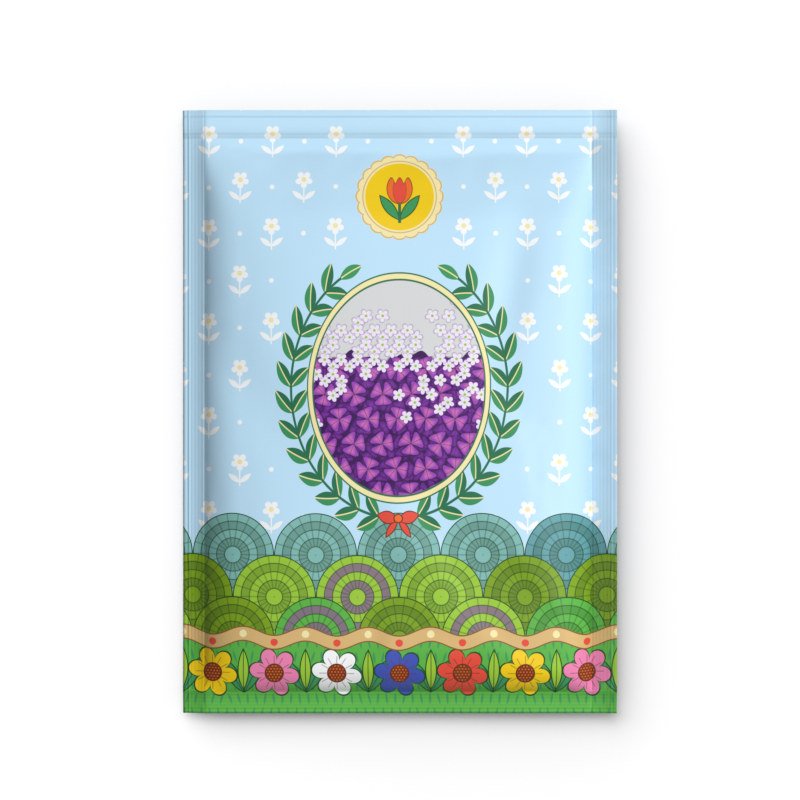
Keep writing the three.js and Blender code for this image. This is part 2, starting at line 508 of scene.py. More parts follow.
@dataclass(frozen=True)
class PrintDesign:
    """The print's layout, in millimetres from the middle of the packet.

    A pale ground has white sprigs, a scalloped badge with a tulip, and an oval of purple trefoils in
    two laurel sprays. Below lie rows of ringed domes, a ribbon and a border of flowers. The bare
    numbers in each motif are its own sizes on the flat print.
    """

    width: float
    length: float
    badge_height: float = 64.0
    badge_radius: float = 13.2
    oval_height: float = 7.0
    oval_across: float = 25.5
    oval_along: float = 32.0
    oval_frame: float = 1.9
    laurel_gap: float = 6.6
    laurel_reach: float = 11.5
    dome: float = 12.4
    dome_rows: int = 4
    ribbon_height: float = -67.0
    border_height: float = -77.5
    border_pitch: float = 18.6
    sprig_pitch: float = 19.0
    sprig_rows: float = 14.0
    sprig_reach: float = 5.0
    panel_height: float = 21.0
    panel_half_wide: float = 49.0
    panel_half_high: float = 50.0
    panel_corner: float = 6.0

    def sprigs(self) -> Group:
        """White sprigs in rows, a finer dot between them, and the middle of each.

        Returns:
            The group.
        """
        group, spot = motif_group("sprigs", {**INKED, "Middle X": "Float", "Middle Y": "Float"})
        tile = tiled(spot.moved(y=4.0), self.sprig_pitch, self.sprig_rows)
        half = Spot(abs(tile.spot.x), tile.spot.y)
        stalk = (half.x - 0.2).most(abs(tile.spot.y + 1.9) - 3.0)
        leaf = lens(half.moved(1.7, -2.6).turned(38.0), 4.4, 1.5)
        flower = tile.spot.moved(y=2.2)
        petals = blossom(flower, 2.6, 5, 0.45, math.pi / 4)
        dot = half.moved(x=self.sprig_pitch / 2).radius() - 0.7
        print_ = Print(group.tree, Ink.WHITE)
        print_.lay((flower.radius() - 0.75).cover(), Ink.CREAM)
        group.put("Color", print_.colour)
        group.put("Cover", stalk.least(leaf).least(petals).least(dot).cover())
        to_dot = half.x.above(self.sprig_pitch / 3) * tile.spot.x.math("SIGN")
        group.put("Middle X", spot.x - tile.spot.x + to_dot * (self.sprig_pitch / 2))
        group.put("Middle Y", spot.y - tile.spot.y)
        return group

    def ground(
        self, tree: NodeTree, groups: dict[str, Group], spot: Spot, gap: Callable[[Spot], Wire]
    ) -> Print:
        """Lays the pale ground with its sprigs, without those that would lie half under a picture.

        Args:
            tree: The material's tree.
            groups: The motifs.
            spot: The place on the print.
            gap: Gives the distance from a place to the nearest picture.

        Returns:
            The print so far.
        """
        placed = placed_motif(tree, groups["sprigs"], spot)
        middle = Spot(placed["Middle X"], placed["Middle Y"])
        clear = gap(middle).above(self.sprig_reach)
        return Print(tree, Ink.SKY).lay(placed["Cover"] * clear, placed["Color"])

    def meadow(self) -> Group:
        """Rows of ringed domes, the lower ones in front, in greens with a teal row at the top.

        Returns:
            The group.
        """
        group, spot = motif_group("dome_rows", INKED)
        size = self.dome
        foot = self.border_height - 2.0
        row = ((spot.y - foot) / size).floor()
        rise = spot.y - foot - row * size

        def across(in_row: Wire) -> tuple[Wire, Wire]:
            """Finds the place across a dome.

            Args:
                in_row: The dome's row.

            Returns:
                The place from the dome's middle, and the dome's column.
            """
            shifted = in_row.odd().math("MULTIPLY_ADD", size, spot.x)
            column = (shifted / (2 * size)).floor()
            return shifted - (column + 0.5) * (2 * size), column

        near_x, near_column = across(row)
        far_x, far_column = across(row + 1.0)
        near, far = Spot(near_x, rise), Spot(far_x, rise - size)
        near_radius = near.radius()
        behind = near_radius.above(size)

        def of_dome(in_front: Wire, farther: Wire) -> Wire:
            """The value of the dome that shows: the one in front, or else the one behind it."""
            return in_front + (farther - in_front) * behind

        radius = of_dome(near_radius, far.radius())
        own_row = row + behind
        lot = Tile(near, of_dome(near_column, far_column), own_row).lot(2.5)
        rings = radius / (size / 5)
        print_ = Print(group.tree, picked(lot, (
            Ink.GRASS_GREEN, Ink.LEAF_GREEN, Ink.LIME, Ink.MOSS, Ink.GRASS_GREEN, Ink.LEAF_GREEN,
        )))
        top_row = own_row.above(self.dome_rows - 1.5)
        print_.lay(top_row, picked(lot, (Ink.TEAL, Ink.DEEP_TEAL, Ink.TEAL)))
        odd_ring = rings.floor().odd()
        print_.lay(odd_ring * 0.34, Ink.LINE_GREEN)
        mauve = odd_ring * lot.above(0.62) * (1.0 - top_row)
        print_.lay(mauve * 0.85, Ink.MAUVE)
        spread = Spot(of_dome(near.x, far.x), of_dome(near.y, far.y)).angle()
        veins = abs((spread * 11.0).math("SINE")) * radius * 0.09 - 0.16
        print_.lay(veins.cover(0.25) * radius.above(size * 0.2) * 0.5, Ink.LINE_GREEN)
        ringed = (0.5 - abs(rings.math("FRACT") - 0.5)) * (size / 5) - 0.15
        print_.lay(ringed.cover() * 0.8, Ink.LINE_GREEN)
        print_.lay((size - radius - 0.3).cover(), Ink.LINE_GREEN)
        group.put("Color", print_.colour)
        cover = (1.0 - own_row.above(self.dome_rows - 0.5)) * (radius - size - 0.3).cover()
        group.put("Cover", cover)
        return group

    def border(self) -> Group:
        """A wavy ribbon, and below it a row of large flowers on leaves.

        Returns:
            The group.
        """
        group, spot = motif_group("flower_border", INKED)
        wave = (spot.x * (TURN / self.border_pitch)).math("COSINE")
        ribbon = spot.y - wave.math("MULTIPLY_ADD", -1.3, self.ribbon_height)
        band = abs(ribbon) - 2.1
        print_ = Print(group.tree, Ink.LEAF_GREEN)
        grass = tiled(spot, 2.6, 4.4, drop=0.37)
        bent = grass.spot.x + grass.spot.y * ((grass.lot() - 0.5) * 0.6)
        print_.lay(lens(Spot(grass.spot.y, bent), 3.8, 0.7).cover(), Ink.MID_GREEN)
        column = (spot.x / self.border_pitch + 0.5).floor()
        here = Spot(spot.x - column * self.border_pitch, spot.y - self.border_height)
        between = Spot(self.border_pitch / 2 - abs(here.x), here.y)
        sides = between.moved(2.9, -1.0).turned(62.0)
        upright = between.moved(0.0, 0.9).turned(90.0)
        for place, length, width, ink in (
            (sides, 12.0, 3.4, Ink.MID_GREEN), (upright, 12.5, 3.2, Ink.GRASS_GREEN),
        ):
            blade = lens(place, length, width)
            print_.lay_shape(blade, ink, Ink.LINE_GREEN)
            print_.lay((abs(place.y) - 0.12).most(blade).cover(), Ink.LINE_GREEN)
        choice = (column * 0.2 + 0.6).math("FLOORED_MODULO", 1.0) + 0.02
        petals = blossom(here, 7.6, 6, 0.52, math.pi / 6)
        print_.lay((petals - 0.25).cover(), Ink.LINE_GREEN)
        print_.lay((petals + 0.25).cover(), picked(choice, (
            Ink.YELLOW, Ink.PINK, Ink.WHITE, Ink.BLUE, Ink.RED,
        )))
        middle = here.radius()
        crease = abs((here.angle() * 6.0).math("SINE")) * middle * 0.16 - 0.14
        creased = crease.most(middle - 5.2).most(3.0 - middle)
        print_.lay(creased.cover() * 0.55, Ink.SEED_BROWN)
        print_.lay((middle - 2.9).cover(), Ink.SEED_BROWN)
        seeds = tiled(here, 0.95, 0.85)
        seeded = (seeds.spot.radius() - 0.28).most(middle - 2.4)
        print_.lay(seeded.cover(0.2) * 0.8, Ink.ORANGE)
        print_.lay(band.cover(), Ink.TAN)
        bead = Spot(abs(here.x) - self.border_pitch / 2, ribbon)
        print_.lay((bead.radius() - 1.1).cover(), Ink.CREAM)
        print_.lay((Spot(here.x, ribbon).radius() - 1.1).cover(), Ink.RED)
        print_.lay(band.stroke(0.4), Ink.BROWN)
        group.put("Color", print_.colour)
        group.put("Cover", (ribbon - 2.3).cover())
        return group

    def laurel(self) -> Group:
        """Two laurel sprays that rise round the oval from a bow below it.

        Returns:
            The group.
        """
        group, spot = motif_group("laurel_sprays", INKED)
        spot = spot.moved(y=self.oval_height)
        half_across = self.oval_across + self.laurel_gap
        half_along = self.oval_along + self.laurel_gap
        mean = (half_across + half_along) / 2
        round_ = Spot(abs(spot.x) / half_across, spot.y / half_along)
        run = round_.angle() * mean
        off = (round_.radius() - 1.0) * mean
        pitch, first_leaf, last_leaf = 7.1, -7, 4
        number = (run / pitch).floor()
        leaf_spot = Spot(run - (number + 0.5) * pitch, abs(off)).moved(-0.1, 2.55).turned(40.0)
        middle_leaf = (first_leaf + last_leaf) / 2
        past_last = abs(number - middle_leaf) - (last_leaf - first_leaf + 1) / 2
        leaf = lens(leaf_spot, 8.4, 3.7).most(past_last * pitch)
        tip_run = (last_leaf + 1) * pitch
        stem_start = (first_leaf - 0.5) * pitch
        stem_run = abs(run - (tip_run + stem_start) / 2) - (tip_run - stem_start) / 2
        stem = (abs(off) - 0.38).most(stem_run)
        tip_spot = Spot(run - tip_run - 3.4, off)
        tip = lens(tip_spot, 8.2, 3.4)
        print_ = Print(group.tree, Ink.BOTTLE_GREEN)
        print_.lay(leaf_spot.y.above(0.0) * 0.8, Ink.MID_GREEN)
        print_.lay((abs(leaf_spot.y) - 0.16).cover(), Ink.CREAM)
        print_.lay(tip.cover(), Ink.MID_GREEN)
        print_.lay((abs(tip_spot.y) - 0.16).most(tip).cover(), Ink.CREAM)
        print_.lay(stem.cover(), Ink.BOTTLE_GREEN)
        bow = Spot(abs(spot.x), spot.y + half_along)
        loop = lens(bow.moved(3.1, 0.3).turned(16.0), 6.2, 3.6)
        tail = lens(bow.moved(1.9, -2.8).turned(-58.0), 6.6, 1.9)
        knot = bow.radius() - 1.25
        for shape, ink in ((tail, Ink.RED), (loop, Ink.RED), (knot, Ink.ORANGE)):
            print_.lay_shape(shape, ink, Ink.SEED_BROWN)
        tied = (loop.least(tail).least(knot) - 0.17).cover()
        group.put("Color", print_.colour)
        group.put("Cover", leaf.least(stem).least(tip).cover().most(tied))
        return group

    def trefoils(self) -> Group:
        """Purple trefoil leaves at four depths, with pale flowers over them, on pale grey.

        Returns:
            The group.
        """
        group, spot = motif_group("trefoil_bed", {"Color": "Color"})
        spot = spot.moved(y=self.oval_height)
        print_ = Print(group.tree, Ink.PALE_GREY)
        crest = (spot.x * 0.34).math("SINE") * 1.6 + (spot.x * 0.9).math("COSINE") * 0.8
        print_.lay((spot.y - crest - 9.0).cover(), Ink.DEEP_PURPLE)
        layers = (
            (6.6, Ink.DEEP_PURPLE, Ink.BRIGHT_PURPLE), (7.2, Ink.PURPLE, Ink.BRIGHT_PURPLE),
            (7.8, Ink.PURPLE, Ink.BRIGHT_PURPLE), (8.6, Ink.BRIGHT_PURPLE, Ink.PINK),
        )
        for depth, (across, ink, light) in enumerate(layers):
            size, along = across * 0.44, across * 0.86
            moved = spot.moved(2.7 * depth, 3.1 * depth)
            tile = tiled(moved, across, along)
            angle = tile.spot.angle() + tile.lot(4.5 + depth) * TURN
            folded = abs(angle.math("WRAP", -math.pi / 3, math.pi / 3))
            middle = tile.spot.radius()
            notched = folded.math("MULTIPLY_ADD", size * 0.24, size * 0.84)
            leaf = overlap(middle - notched, (folded - 0.84) * middle, size * 0.22)
            leaf = leaf.most((tile.row + 1.0) * along + (3.1 * depth - 10.0))
            print_.lay((leaf - 0.4).cover(0.7) * 0.8, Ink.DEEP_PURPLE)
            print_.lay(leaf.cover(), ink)
            patch = (middle - size * 0.74).most((folded - 0.44) * middle).most(leaf)
            print_.lay(patch.cover(0.9) * (0.3 + 0.08 * depth), light)
            print_.lay((folded * middle - 0.09).most(leaf).cover() * 0.7, Ink.DEEP_PURPLE)
            print_.lay(leaf.stroke(0.16) * 0.6, Ink.DEEP_PURPLE)
        for depth in range(2):
            moved = spot.moved(2.4 * depth, 2.0 * depth)
            tile = tiled(moved, 4.9, 4.3)
            flower = blossom(tile.spot, 1.9, 5, 0.36, math.pi * depth / 3)
            crowded = tile.row.math("MULTIPLY_ADD", 0.11, 0.5).least(0.92)
            falls_off = tile.row.math("MULTIPLY_ADD", -0.36, 1.9)
            shown = crowded.least(falls_off).above(tile.lot(8.5 + depth))
            print_.lay((flower - 0.3).cover(0.5) * shown * 0.5, Ink.PURPLE)
            print_.lay(flower.cover() * shown, Ink.LILAC)
            print_.lay((tile.spot.radius() - 0.42).cover() * shown, Ink.GRASS_GREEN)
        group.put("Color", print_.colour)
        return group

    def badge(self) -> Group:
        """A scalloped cream badge with a tulip on a yellow disc.

        Returns:
            The group.
        """
        group, spot = motif_group("tulip_badge", INKED)
        spot = spot.moved(y=self.badge_height)
        edge = blossom(spot, self.badge_radius, 20, 0.93)
        middle = spot.radius()
        print_ = Print(group.tree, Ink.CREAM)
        print_.lay((edge + 0.3).stroke(0.45), Ink.TAN)
        print_.lay((middle - 10.2).cover(), Ink.YELLOW)
        print_.lay((middle - 10.9).stroke(0.35), Ink.TAN)
        side = Spot(abs(spot.x), spot.y)
        leaf = lens(side.moved(3.0, -3.4).turned(52.0), 9.4, 2.9)
        print_.lay_shape(leaf, Ink.MID_GREEN, Ink.LINE_GREEN, width=0.3)
        print_.lay((side.x - 0.45).most(abs(spot.y + 3.6) - 4.4).cover(), Ink.BOTTLE_GREEN)
        cup = spot.moved(y=2.4)
        round_cup = Spot(cup.x / 0.82, cup.y).radius() - 4.6
        notch = abs((side.x * (TURN / 5.0)).math("COSINE")) * 1.9 + 1.4
        tulip = round_cup.most(cup.y - notch)
        print_.lay(tulip.cover(), Ink.ORANGE)
        petal = (Spot(cup.x / 0.5, cup.y + 0.4).radius() - 4.0).most(tulip)
        print_.lay_shape(petal, Ink.RED, Ink.BROWN, width=0.3)
        print_.lay(tulip.stroke(0.35), Ink.BROWN)
        group.put("Color", print_.colour)
        group.put("Cover", edge.cover())
        return group

    def flat_spot(self, tree: NodeTree) -> Spot:
        """Reads the place on the flat print from the piece's print map.

        Args:
            tree: The material's tree.

        Returns:
            The place.
        """
        uv = add_node(tree, "ShaderNodeUVMap", uv_map=PRINT_MAP)
        x, y, _ = parted(Wire(uv.outputs["UV"]))
        return Spot((x - 0.5) * self.width, (y - 0.5) * self.length)

    def groups(self) -> dict[str, Group]:
        """Builds each motif's node group once, for both sides of the packet."""
        makers = (self.sprigs, self.meadow, self.border, self.laurel, self.badge, self.trefoils)
        return {make.__name__: make() for make in makers}

    def off_oval(self, spot: Spot) -> Wire:
        """Measures from the oval's rim.

        Args:
            spot: The place on the print.

        Returns:
            The distance, which is below 0 inside.
        """
        oval = spot.moved(y=self.oval_height)
        reach = Spot(oval.x / self.oval_across, oval.y / self.oval_along).radius() - 1.0
        return reach * ((self.oval_across + self.oval_along) / 2)

    def off_pictures(self, spot: Spot) -> Wire:
        """The distance from the front's pictures: the badge, and the oval in its laurels."""
        off_badge = spot.moved(y=self.badge_height).radius() - self.badge_radius
        return (self.off_oval(spot) - self.laurel_reach).least(off_badge)

    def off_panel(self, spot: Spot) -> Wire:
        """Measures from the rim of the back's bare panel, which has rounded corners.

        Args:
            spot: The place on the print.

        Returns:
            The distance, which is below 0 inside.
        """
        x = (abs(spot.x) - (self.panel_half_wide - self.panel_corner)).most(0.0)
        inner_high = self.panel_half_high - self.panel_corner
        y = (abs(spot.y - self.panel_height) - inner_high).most(0.0)
        return Spot(x, y).radius() - self.panel_corner

    def front(self, tree: NodeTree, groups: dict[str, Group]) -> Print:
        """Lays the front print.

        Args:
            tree: The material's tree.
            groups: The motifs.

        Returns:
            The print.
        """
        spot = self.flat_spot(tree)
        print_ = self.ground(tree, groups, spot, self.off_pictures)
        for name in ("meadow", "border", "laurel", "badge"):
            print_.lay_motif(groups[name], spot)
        rim = self.off_oval(spot)
        around = rim - self.oval_frame
        print_.lay(around.cover(), Ink.CREAM)
        print_.lay(rim.cover(), placed_motif(tree, groups["trefoils"], spot)["Color"])
        print_.lay(around.stroke(0.4), Ink.BOTTLE_GREEN)
        print_.lay((rim - 0.1).stroke(0.5), Ink.BOTTLE_GREEN)
        return print_

    def back(self, tree: NodeTree, groups: dict[str, Group]) -> Print:
        """Lays the back print: the same ground and border round a bare white panel.

        Args:
            tree: The material's tree.
            groups: The motifs.

        Returns:
            The print.
        """
        spot = self.flat_spot(tree)
        print_ = self.ground(tree, groups, spot, self.off_panel)
        print_.lay_motif(groups["meadow"], Spot(spot.x, spot.y + self.dome))
        print_.lay_motif(groups["border"], spot)
        panel = self.off_panel(spot)
        print_.lay(panel.cover(), Ink.WHITE)
        print_.lay((panel + 1.6).stroke(0.5), Ink.BOTTLE_GREEN)
        print_.lay(panel.stroke(0.5), Ink.MID_GREEN)
        return print_


# ----------------------------------------
# Finishes


def own_place(tree: NodeTree) -> Wire:
    """The place on the piece, in metres."""
    return Wire(add_node(tree, "ShaderNodeTexCoord").outputs["Object"])


def read_attribute(tree: NodeTree, name: str, output: str) -> Wire:
    """Reads an attribute of the piece's mesh in a material."""
    return Wire(add_node(tree, "ShaderNodeAttribute", attribute_name=name).outputs[output])


@dataclass(frozen=True)
class LaminateWear:
    """Fine unevenness of a laminate: an orange peel for the bump, and smudges for the gloss."""

    peel_scale: float = 900.0
    wave_scale: float = 170.0
    wave_share: float = 2.0
    smudge_scale: float = 45.0
    smudge_depth: float = 0.16

    def group(self) -> Group:
        """Builds the node group.

        Returns:
            The group, which puts out a roughness and a height.
        """
        outputs = {"Roughness": "Float", "Height": "Float"}
        group = new_group("laminate_wear", {"Base Roughness": 0.4}, outputs)
        place = own_place(group.tree)
        smudges = (noise_at(place, self.smudge_scale, detail=3.0) - 0.5) * self.smudge_depth
        group.put("Roughness", smudges + group.inputs["Base Roughness"])
        waves = noise_at(place, self.wave_scale, detail=1.0) * self.wave_share
        group.put("Height", noise_at(place, self.peel_scale) + waves)
        return group


@dataclass(frozen=True)
class PressMarks:
    """Painted shade over a film's seals, partly the bars' real dulling, most along the bars' edges.

    The shade grows towards the panel, with painted lines along the bars' edge grooves and a painted
    shadow line along a cut edge. Each mark is mottled. That of a side seal is weaker where the foot or
    the head seal crosses it, and for a little way past.
    """

    mottle_scale: float = 90.0
    mottle_depth: float = 0.7
    least_mottle: float = 0.65
    past_crossing: float = 1.0
    growth: float = 3.0
    bar_softness: float = 0.06
    cut_softness: float = 0.2

    def group(self, pouch: "Pouch") -> Group:
        """Builds the node group.

        Args:
            pouch: The packet, whose seals say how far painted shade darkens each one's print.

        Returns:
            The group, whose value is 0 on the panel.
        """
        group = new_group("seal_shade_and_dulling", {"Depth": 1.0}, {"Pressed": "Float"})
        place = read_attribute(group.tree, FLAT_PLACE, "Vector")
        x, y = (number / MM for number in parted(place)[:2])
        mottle = noise_at(place, self.mottle_scale) * self.mottle_depth + self.least_mottle
        half_width, half_length = pouch.width / 2, pouch.length / 2
        to_foot, to_head = y + half_length, half_length - y
        at_foot, at_head = (
            (seal.width + self.past_crossing - inward).share()
            for seal, inward in ((pouch.foot, to_foot), (pouch.head, to_head))
        )
        crossed = at_foot.most(at_head)
        bright: Wire | float = 1.0
        for seal, inward, weaker in (
            (pouch.left, x + half_width, crossed), (pouch.right, half_width - x, crossed),
            (pouch.foot, to_foot, 0.0), (pouch.head, to_head, 0.0),
        ):
            across = ((inward - seal.margin) / (seal.width - seal.margin)).most(0.0)
            # Painted shade that grows towards the panel, partly the bar's real dulling.
            dulled = self.dulled(seal, inward, across, pouch.cut_width)
            bright = bright * (1.0 - dulled * (1.0 - across * weaker))
            # Painted shade in the two grooves along the bar's edges.
            bar_edges = (seal.margin, seal.margin + seal.ribs * pouch.rib_pitch)
            for edge, depth in zip(bar_edges, seal.grooved):
                groove = (abs(inward - edge) - pouch.groove_width / 2).cover(pouch.groove_width)
                bright = bright * (1.0 - groove * depth)
        group.put("Pressed", (1.0 - bright) * mottle * group.inputs["Depth"])
        return group

    def dulled(self, seal: "Seal", inward: Wire, across: Wire, cut_width: float) -> Wire:
        """How far painted shade darkens one seal's print, with a painted shadow line on the cut edge.

        Args:
            seal: The seal.
            inward: The distance in from the cut edge.
            across: The place from the bar's outer edge at 0 to the panel at 1.
            cut_width: How wide the painted shadow line along the cut edge is.

        Returns:
            The share of the print's colour that the painted shade takes away.
        """
        on_margin, first, last = seal.dulled
        # Painted shade that grows towards the panel, partly the bar's real dulling.
        ramp = across.math("POWER", self.growth) * (last - first) + first
        ramp = (across - 1.0).cover(self.bar_softness) * ramp * across.above(0.0)
        dulled = ramp + (inward - seal.margin).cover(self.bar_softness) * on_margin
        # A painted shadow line along the cut edge, by the seal's share of cut.
        return dulled + (inward - cut_width).cover(self.cut_softness) * seal.cut


@dataclass(frozen=True)
class LaminateFinish:
    """The printed outer side of a film: ink under a thin satin lacquer, with painted shade, partly real
    dulling, on its seals.
    """

    roughness: float = 0.62
    gloss: float = 0.28
    coat: float = 0.03
    coat_roughness: float = 0.38
    peel: float = 0.012
    pressed_depth: float = 1.0
    pressed_tint: Rgba = (0.62, 0.62, 0.62, 1)

    def material(
        self,
        name: str,
        wear: Group,
        pressed: Group,
        lay: Callable[[NodeTree, dict[str, Group]], Print],
        motifs: dict[str, Group],
    ) -> Material:
        """Makes the material.

        Args:
            name: The material's name.
            wear: The group for the laminate's unevenness.
            pressed: The group for the painted shade over the seals, partly the bars' real dulling.
            lay: Lays the print in the material's tree.
            motifs: The motifs that it lays.

        Returns:
            The material.
        """
        material, shader = new_material(name)
        tree = material.node_tree
        dulled = placed_group(tree, pressed, Depth=self.pressed_depth)["Pressed"]
        # Painted shade: the seals' darkening is multiplied into the print here.
        printed = lay(tree, motifs).lay(dulled, self.pressed_tint, blend="MULTIPLY")
        plug(printed.colour, shader.inputs["Base Color"])
        add_wear(tree, shader, wear, self.peel, self.roughness)
        shader.inputs["Specular IOR Level"].default_value = self.gloss
        shader.inputs["Coat Weight"].default_value = self.coat
        shader.inputs["Coat Roughness"].default_value = self.coat_roughness
        return material


@dataclass(frozen=True)
class FoilFinish:
    """The silvery inner side of a film, where the metal shows through the sealing layer."""

    colour: Rgba = (0.72, 0.73, 0.75, 1)
    roughness: float = 0.32
    metallic: float = 0.85
    peel: float = 0.02

    def material(self, wear: Group) -> Material:
        """Makes the material.

        Args:
            wear: The group for the laminate's unevenness.

        Returns:
            The material.
        """
        material, shader = new_material("foil_inside")
        shader.inputs["Base Color"].default_value = self.colour
        shader.inputs["Metallic"].default_value = self.metallic
        add_wear(material.node_tree, shader, wear, self.peel, self.roughness)
        return material


@dataclass(frozen=True)
class CutEdgeFinish:
    """The cut edge of a film, where the clear and the white layers show as fine streaks."""

    pale: Rgba = (0.62, 0.72, 0.78, 1)
    grey: Rgba = (0.36, 0.45, 0.52, 1)
    streak_scale: float = 700.0
    roughness: float = 0.55

    def material(self) -> Material:
        """Makes the material.

        Returns:
            The material.
        """
        material, shader = new_material("cut_film_edge")
        tree = material.node_tree
        streaks = noise_at(own_place(tree), self.streak_scale)
        streaked = Print(tree, self.pale).lay(streaks, self.grey)
        plug(streaked.colour, shader.inputs["Base Color"])
        shader.inputs["Roughness"].default_value = self.roughness
        return material


@dataclass(frozen=True)
class ScaleFinish:
    """The dry scales of a bulb: pink-brown, each with its own shade, freckled and a little rough."""

    pale: Rgba = (0.52, 0.27, 0.17, 1)
    dark: Rgba = (0.2, 0.07, 0.045, 1)
    freckle_scale: float = 1400.0
    lot_depth: float = 0.55
    freckle_depth: float = 0.9
    lightened: float = 0.2
    roughness: float = 0.72
    roughness_range: float = 0.3
    relief: float = 0.15

    def material(self) -> Material:
        """Makes the material.

        Returns:
            The material.
        """
        material, shader = new_material("papery_bulb_scales")
        tree = material.node_tree
        freckles = noise_at(own_place(tree), self.freckle_scale, detail=4.0)
        lot = read_attribute(tree, SCALE_LOT, "Fac")
        shade = lot * self.lot_depth + freckles * self.freckle_depth - self.lightened
        shaded = Print(tree, self.pale).lay(shade.share(), self.dark)
        plug(shaded.colour, shader.inputs["Base Color"])
        least = self.roughness - self.roughness_range / 2
        plug(freckles * self.roughness_range + least, shader.inputs["Roughness"])
        add_bump(tree, shader, freckles, self.relief * MM)
        return material


def new_material(name: str) -> tuple[Material, Node]:
    """Makes a material.

    Args:
        name: Its name.

    Returns:
        The material and its Principled node.
    """
    material = bpy.data.materials.new(name)
    material.use_nodes = True
    return material, material.node_tree.nodes["Principled BSDF"]


def add_bump(tree: NodeTree, shader: Node, height: Wire, distance: float) -> None:
    """Feeds a shader's normal from a height.

    Args:
        tree: The material's tree.
        shader: The Principled node.
        height: The height, in steps of the distance.
        distance: What a height of 1 stands for, in metres.
    """
    bump = add_node(tree, "ShaderNodeBump", {"Distance": distance, "Height": height})
    plug(Wire(bump.outputs["Normal"]), shader.inputs["Normal"])


def add_wear(tree: NodeTree, shader: Node, wear: Group, peel: float, roughness: float) -> None:
    """Gives a film's shader its unevenness.

    Args:
        tree: The material's tree.
        shader: The Principled node.
        wear: The group for the laminate's unevenness.
        peel: The height of its orange peel, in millimetres.
        roughness: Its usual roughness.
    """
    worn = placed_group(tree, wear, Base_Roughness=roughness)
    plug(worn["Roughness"], shader.inputs["Roughness"])
    add_bump(tree, shader, worn["Height"], peel * MM)


# ----------------------------------------
# The two films


def resampled(samples: np.ndarray, places: np.ndarray) -> np.ndarray:
    """Reads a smooth curve through samples.

    Args:
        samples: The samples, along the first axis.
        places: Where to read it, in steps from the first sample.

    Returns:
        The values there, along the first axis.
    """
    last = len(samples) - 1
    start = np.clip(np.floor(places).astype(int), 0, last - 1)
    share = (places - start).reshape(-1, *[1] * (samples.ndim - 1))
    before, first, second, after = (
        samples[np.clip(start + step, 0, last)] for step in (-1, 0, 1, 2)
    )
    slope = second - before
    bend = 2 * before - 5 * first + 4 * second - after
    twist = 3 * first - before - 3 * second + after
    return first + (slope * share + bend * share**2 + twist * share**3) / 2


def soft_noise(x: np.ndarray, y: np.ndarray, cell: float, seed: int) -> np.ndarray:
    """Makes smooth noise over a grid of lines.

    Args:
        x: The lines across, in millimetres.
        y: The lines along.
        cell: The size of one bump.
        seed: Gives the same noise each time.

    Returns:
        A value for each crossing, mostly between -1 and 1.
    """
    counts = [int(np.ptp(lines) / cell) + 4 for lines in (x, y)]
    lattice = np.random.default_rng(seed).normal(scale=0.5, size=counts)
    columns = resampled(lattice, (x - x.min()) / cell + 1)
    return resampled(columns.T, (y - y.min()) / cell + 1).T


class Side(Enum):
    """The two films, each with the direction that it faces."""

    FRONT = 1
    BACK = -1


def grid_faces(ids: np.ndarray) -> np.ndarray:
    """The four-sided faces of a grid of point numbers."""
    corners = (ids[:-1, :-1], ids[1:, :-1], ids[1:, 1:], ids[:-1, 1:])
    return np.stack(corners, -1).reshape(-1, 4)


def eased(count: int) -> np.ndarray:
    """Shares from 0 to 1 in a number of steps, which are shorter towards both ends."""
    share = np.linspace(0, 1, count + 1)
    return (share + (1 - np.cos(math.pi * share)) / 2) / 2


@dataclass(frozen=True)
class Seal:
    """One pressed seal, from the cut edge inwards: a plain margin, ribs, and a plain land.

    It falls by one slope where it leaves the panel, and by another at its cut edge. Below 0 it rises.
    Painted shade darkens its print by three shares, partly the bar's real dulling: on the margin,
    where the ribs start, and at the panel. The bar's own two edges are grooves, and painted shade
    darkens them further. The first rib is the highest: worn is what the others lack, and fade is what
    those in the middle lack. The knife has turned its cut edge down, and a painted shadow line darkens
    it by the share of cut.
    """

    width: float
    margin: float
    ribs: int
    slope: float
    edge_slope: float
    dulled: tuple[float, float, float]
    grooved: tuple[float, float] = (0.0, 0.0)
    worn: float = 0.0
    fade: float = 0.0
    burr: float = 0.1
    burr_reach: float = 0.3
    cut: float = 0.0
    bend: float = 1.7

    def facts(self) -> dict[str, float]:
        """What the ribs' Geometry Nodes need to know of the seal, by the names of their inputs."""
        return dict(zip(SEAL_FACTS, (self.margin * MM, float(self.ribs), self.worn, self.fade)))

    def fallen(self, outward: np.ndarray, held: np.ndarray | float = 0.0) -> np.ndarray:
        """How far the seal has fallen at each distance out from the panel.

        Args:
            outward: The distance.
            held: The share of the fall that a seal across this one holds up.

        Returns:
            The fall.
        """
        share = np.maximum(outward, 0) / self.width
        eased_slope = (self.edge_slope - self.slope) * share**self.bend / self.bend
        burr = self.burr * np.exp(-np.maximum(0, self.width - outward) / self.burr_reach)
        return self.width * (self.slope * share + eased_slope) * (1 - held) + burr


@dataclass(frozen=True)
class Crown:
    """How a film falls away to its seals.

    At the sides and the foot that is a power of the place, and a high one is flat and then steep. At
    the head it is a rounded rise, as a share of half the length.
    """

    left: float
    right: float
    foot: float
    head_reach: float
    head_power: float = 1.4

    def left_over(self, across: np.ndarray, along: np.ndarray, strip: np.ndarray) -> np.ndarray:
        """How much of the crown is left, from 1 in the middle to 0 on the seals.

        Args:
            across: The place from the left seal at -1 to the right one at 1.
            along: The place from the foot seal at -1 to the head seal at 1.
            strip: How far the film stays flat below the head seal, in the same measure as along.

        Returns:
            The share of the crown's height.
        """
        sides = 1 - abs(across) ** np.where(across < 0, self.left, self.right)
        foot = 1 - np.maximum(0, -along) ** self.foot
        short_of = 1 - (1 - strip - along) / self.head_reach
        return sides * foot * (1 - np.clip(short_of, 0, 1) ** self.head_power)


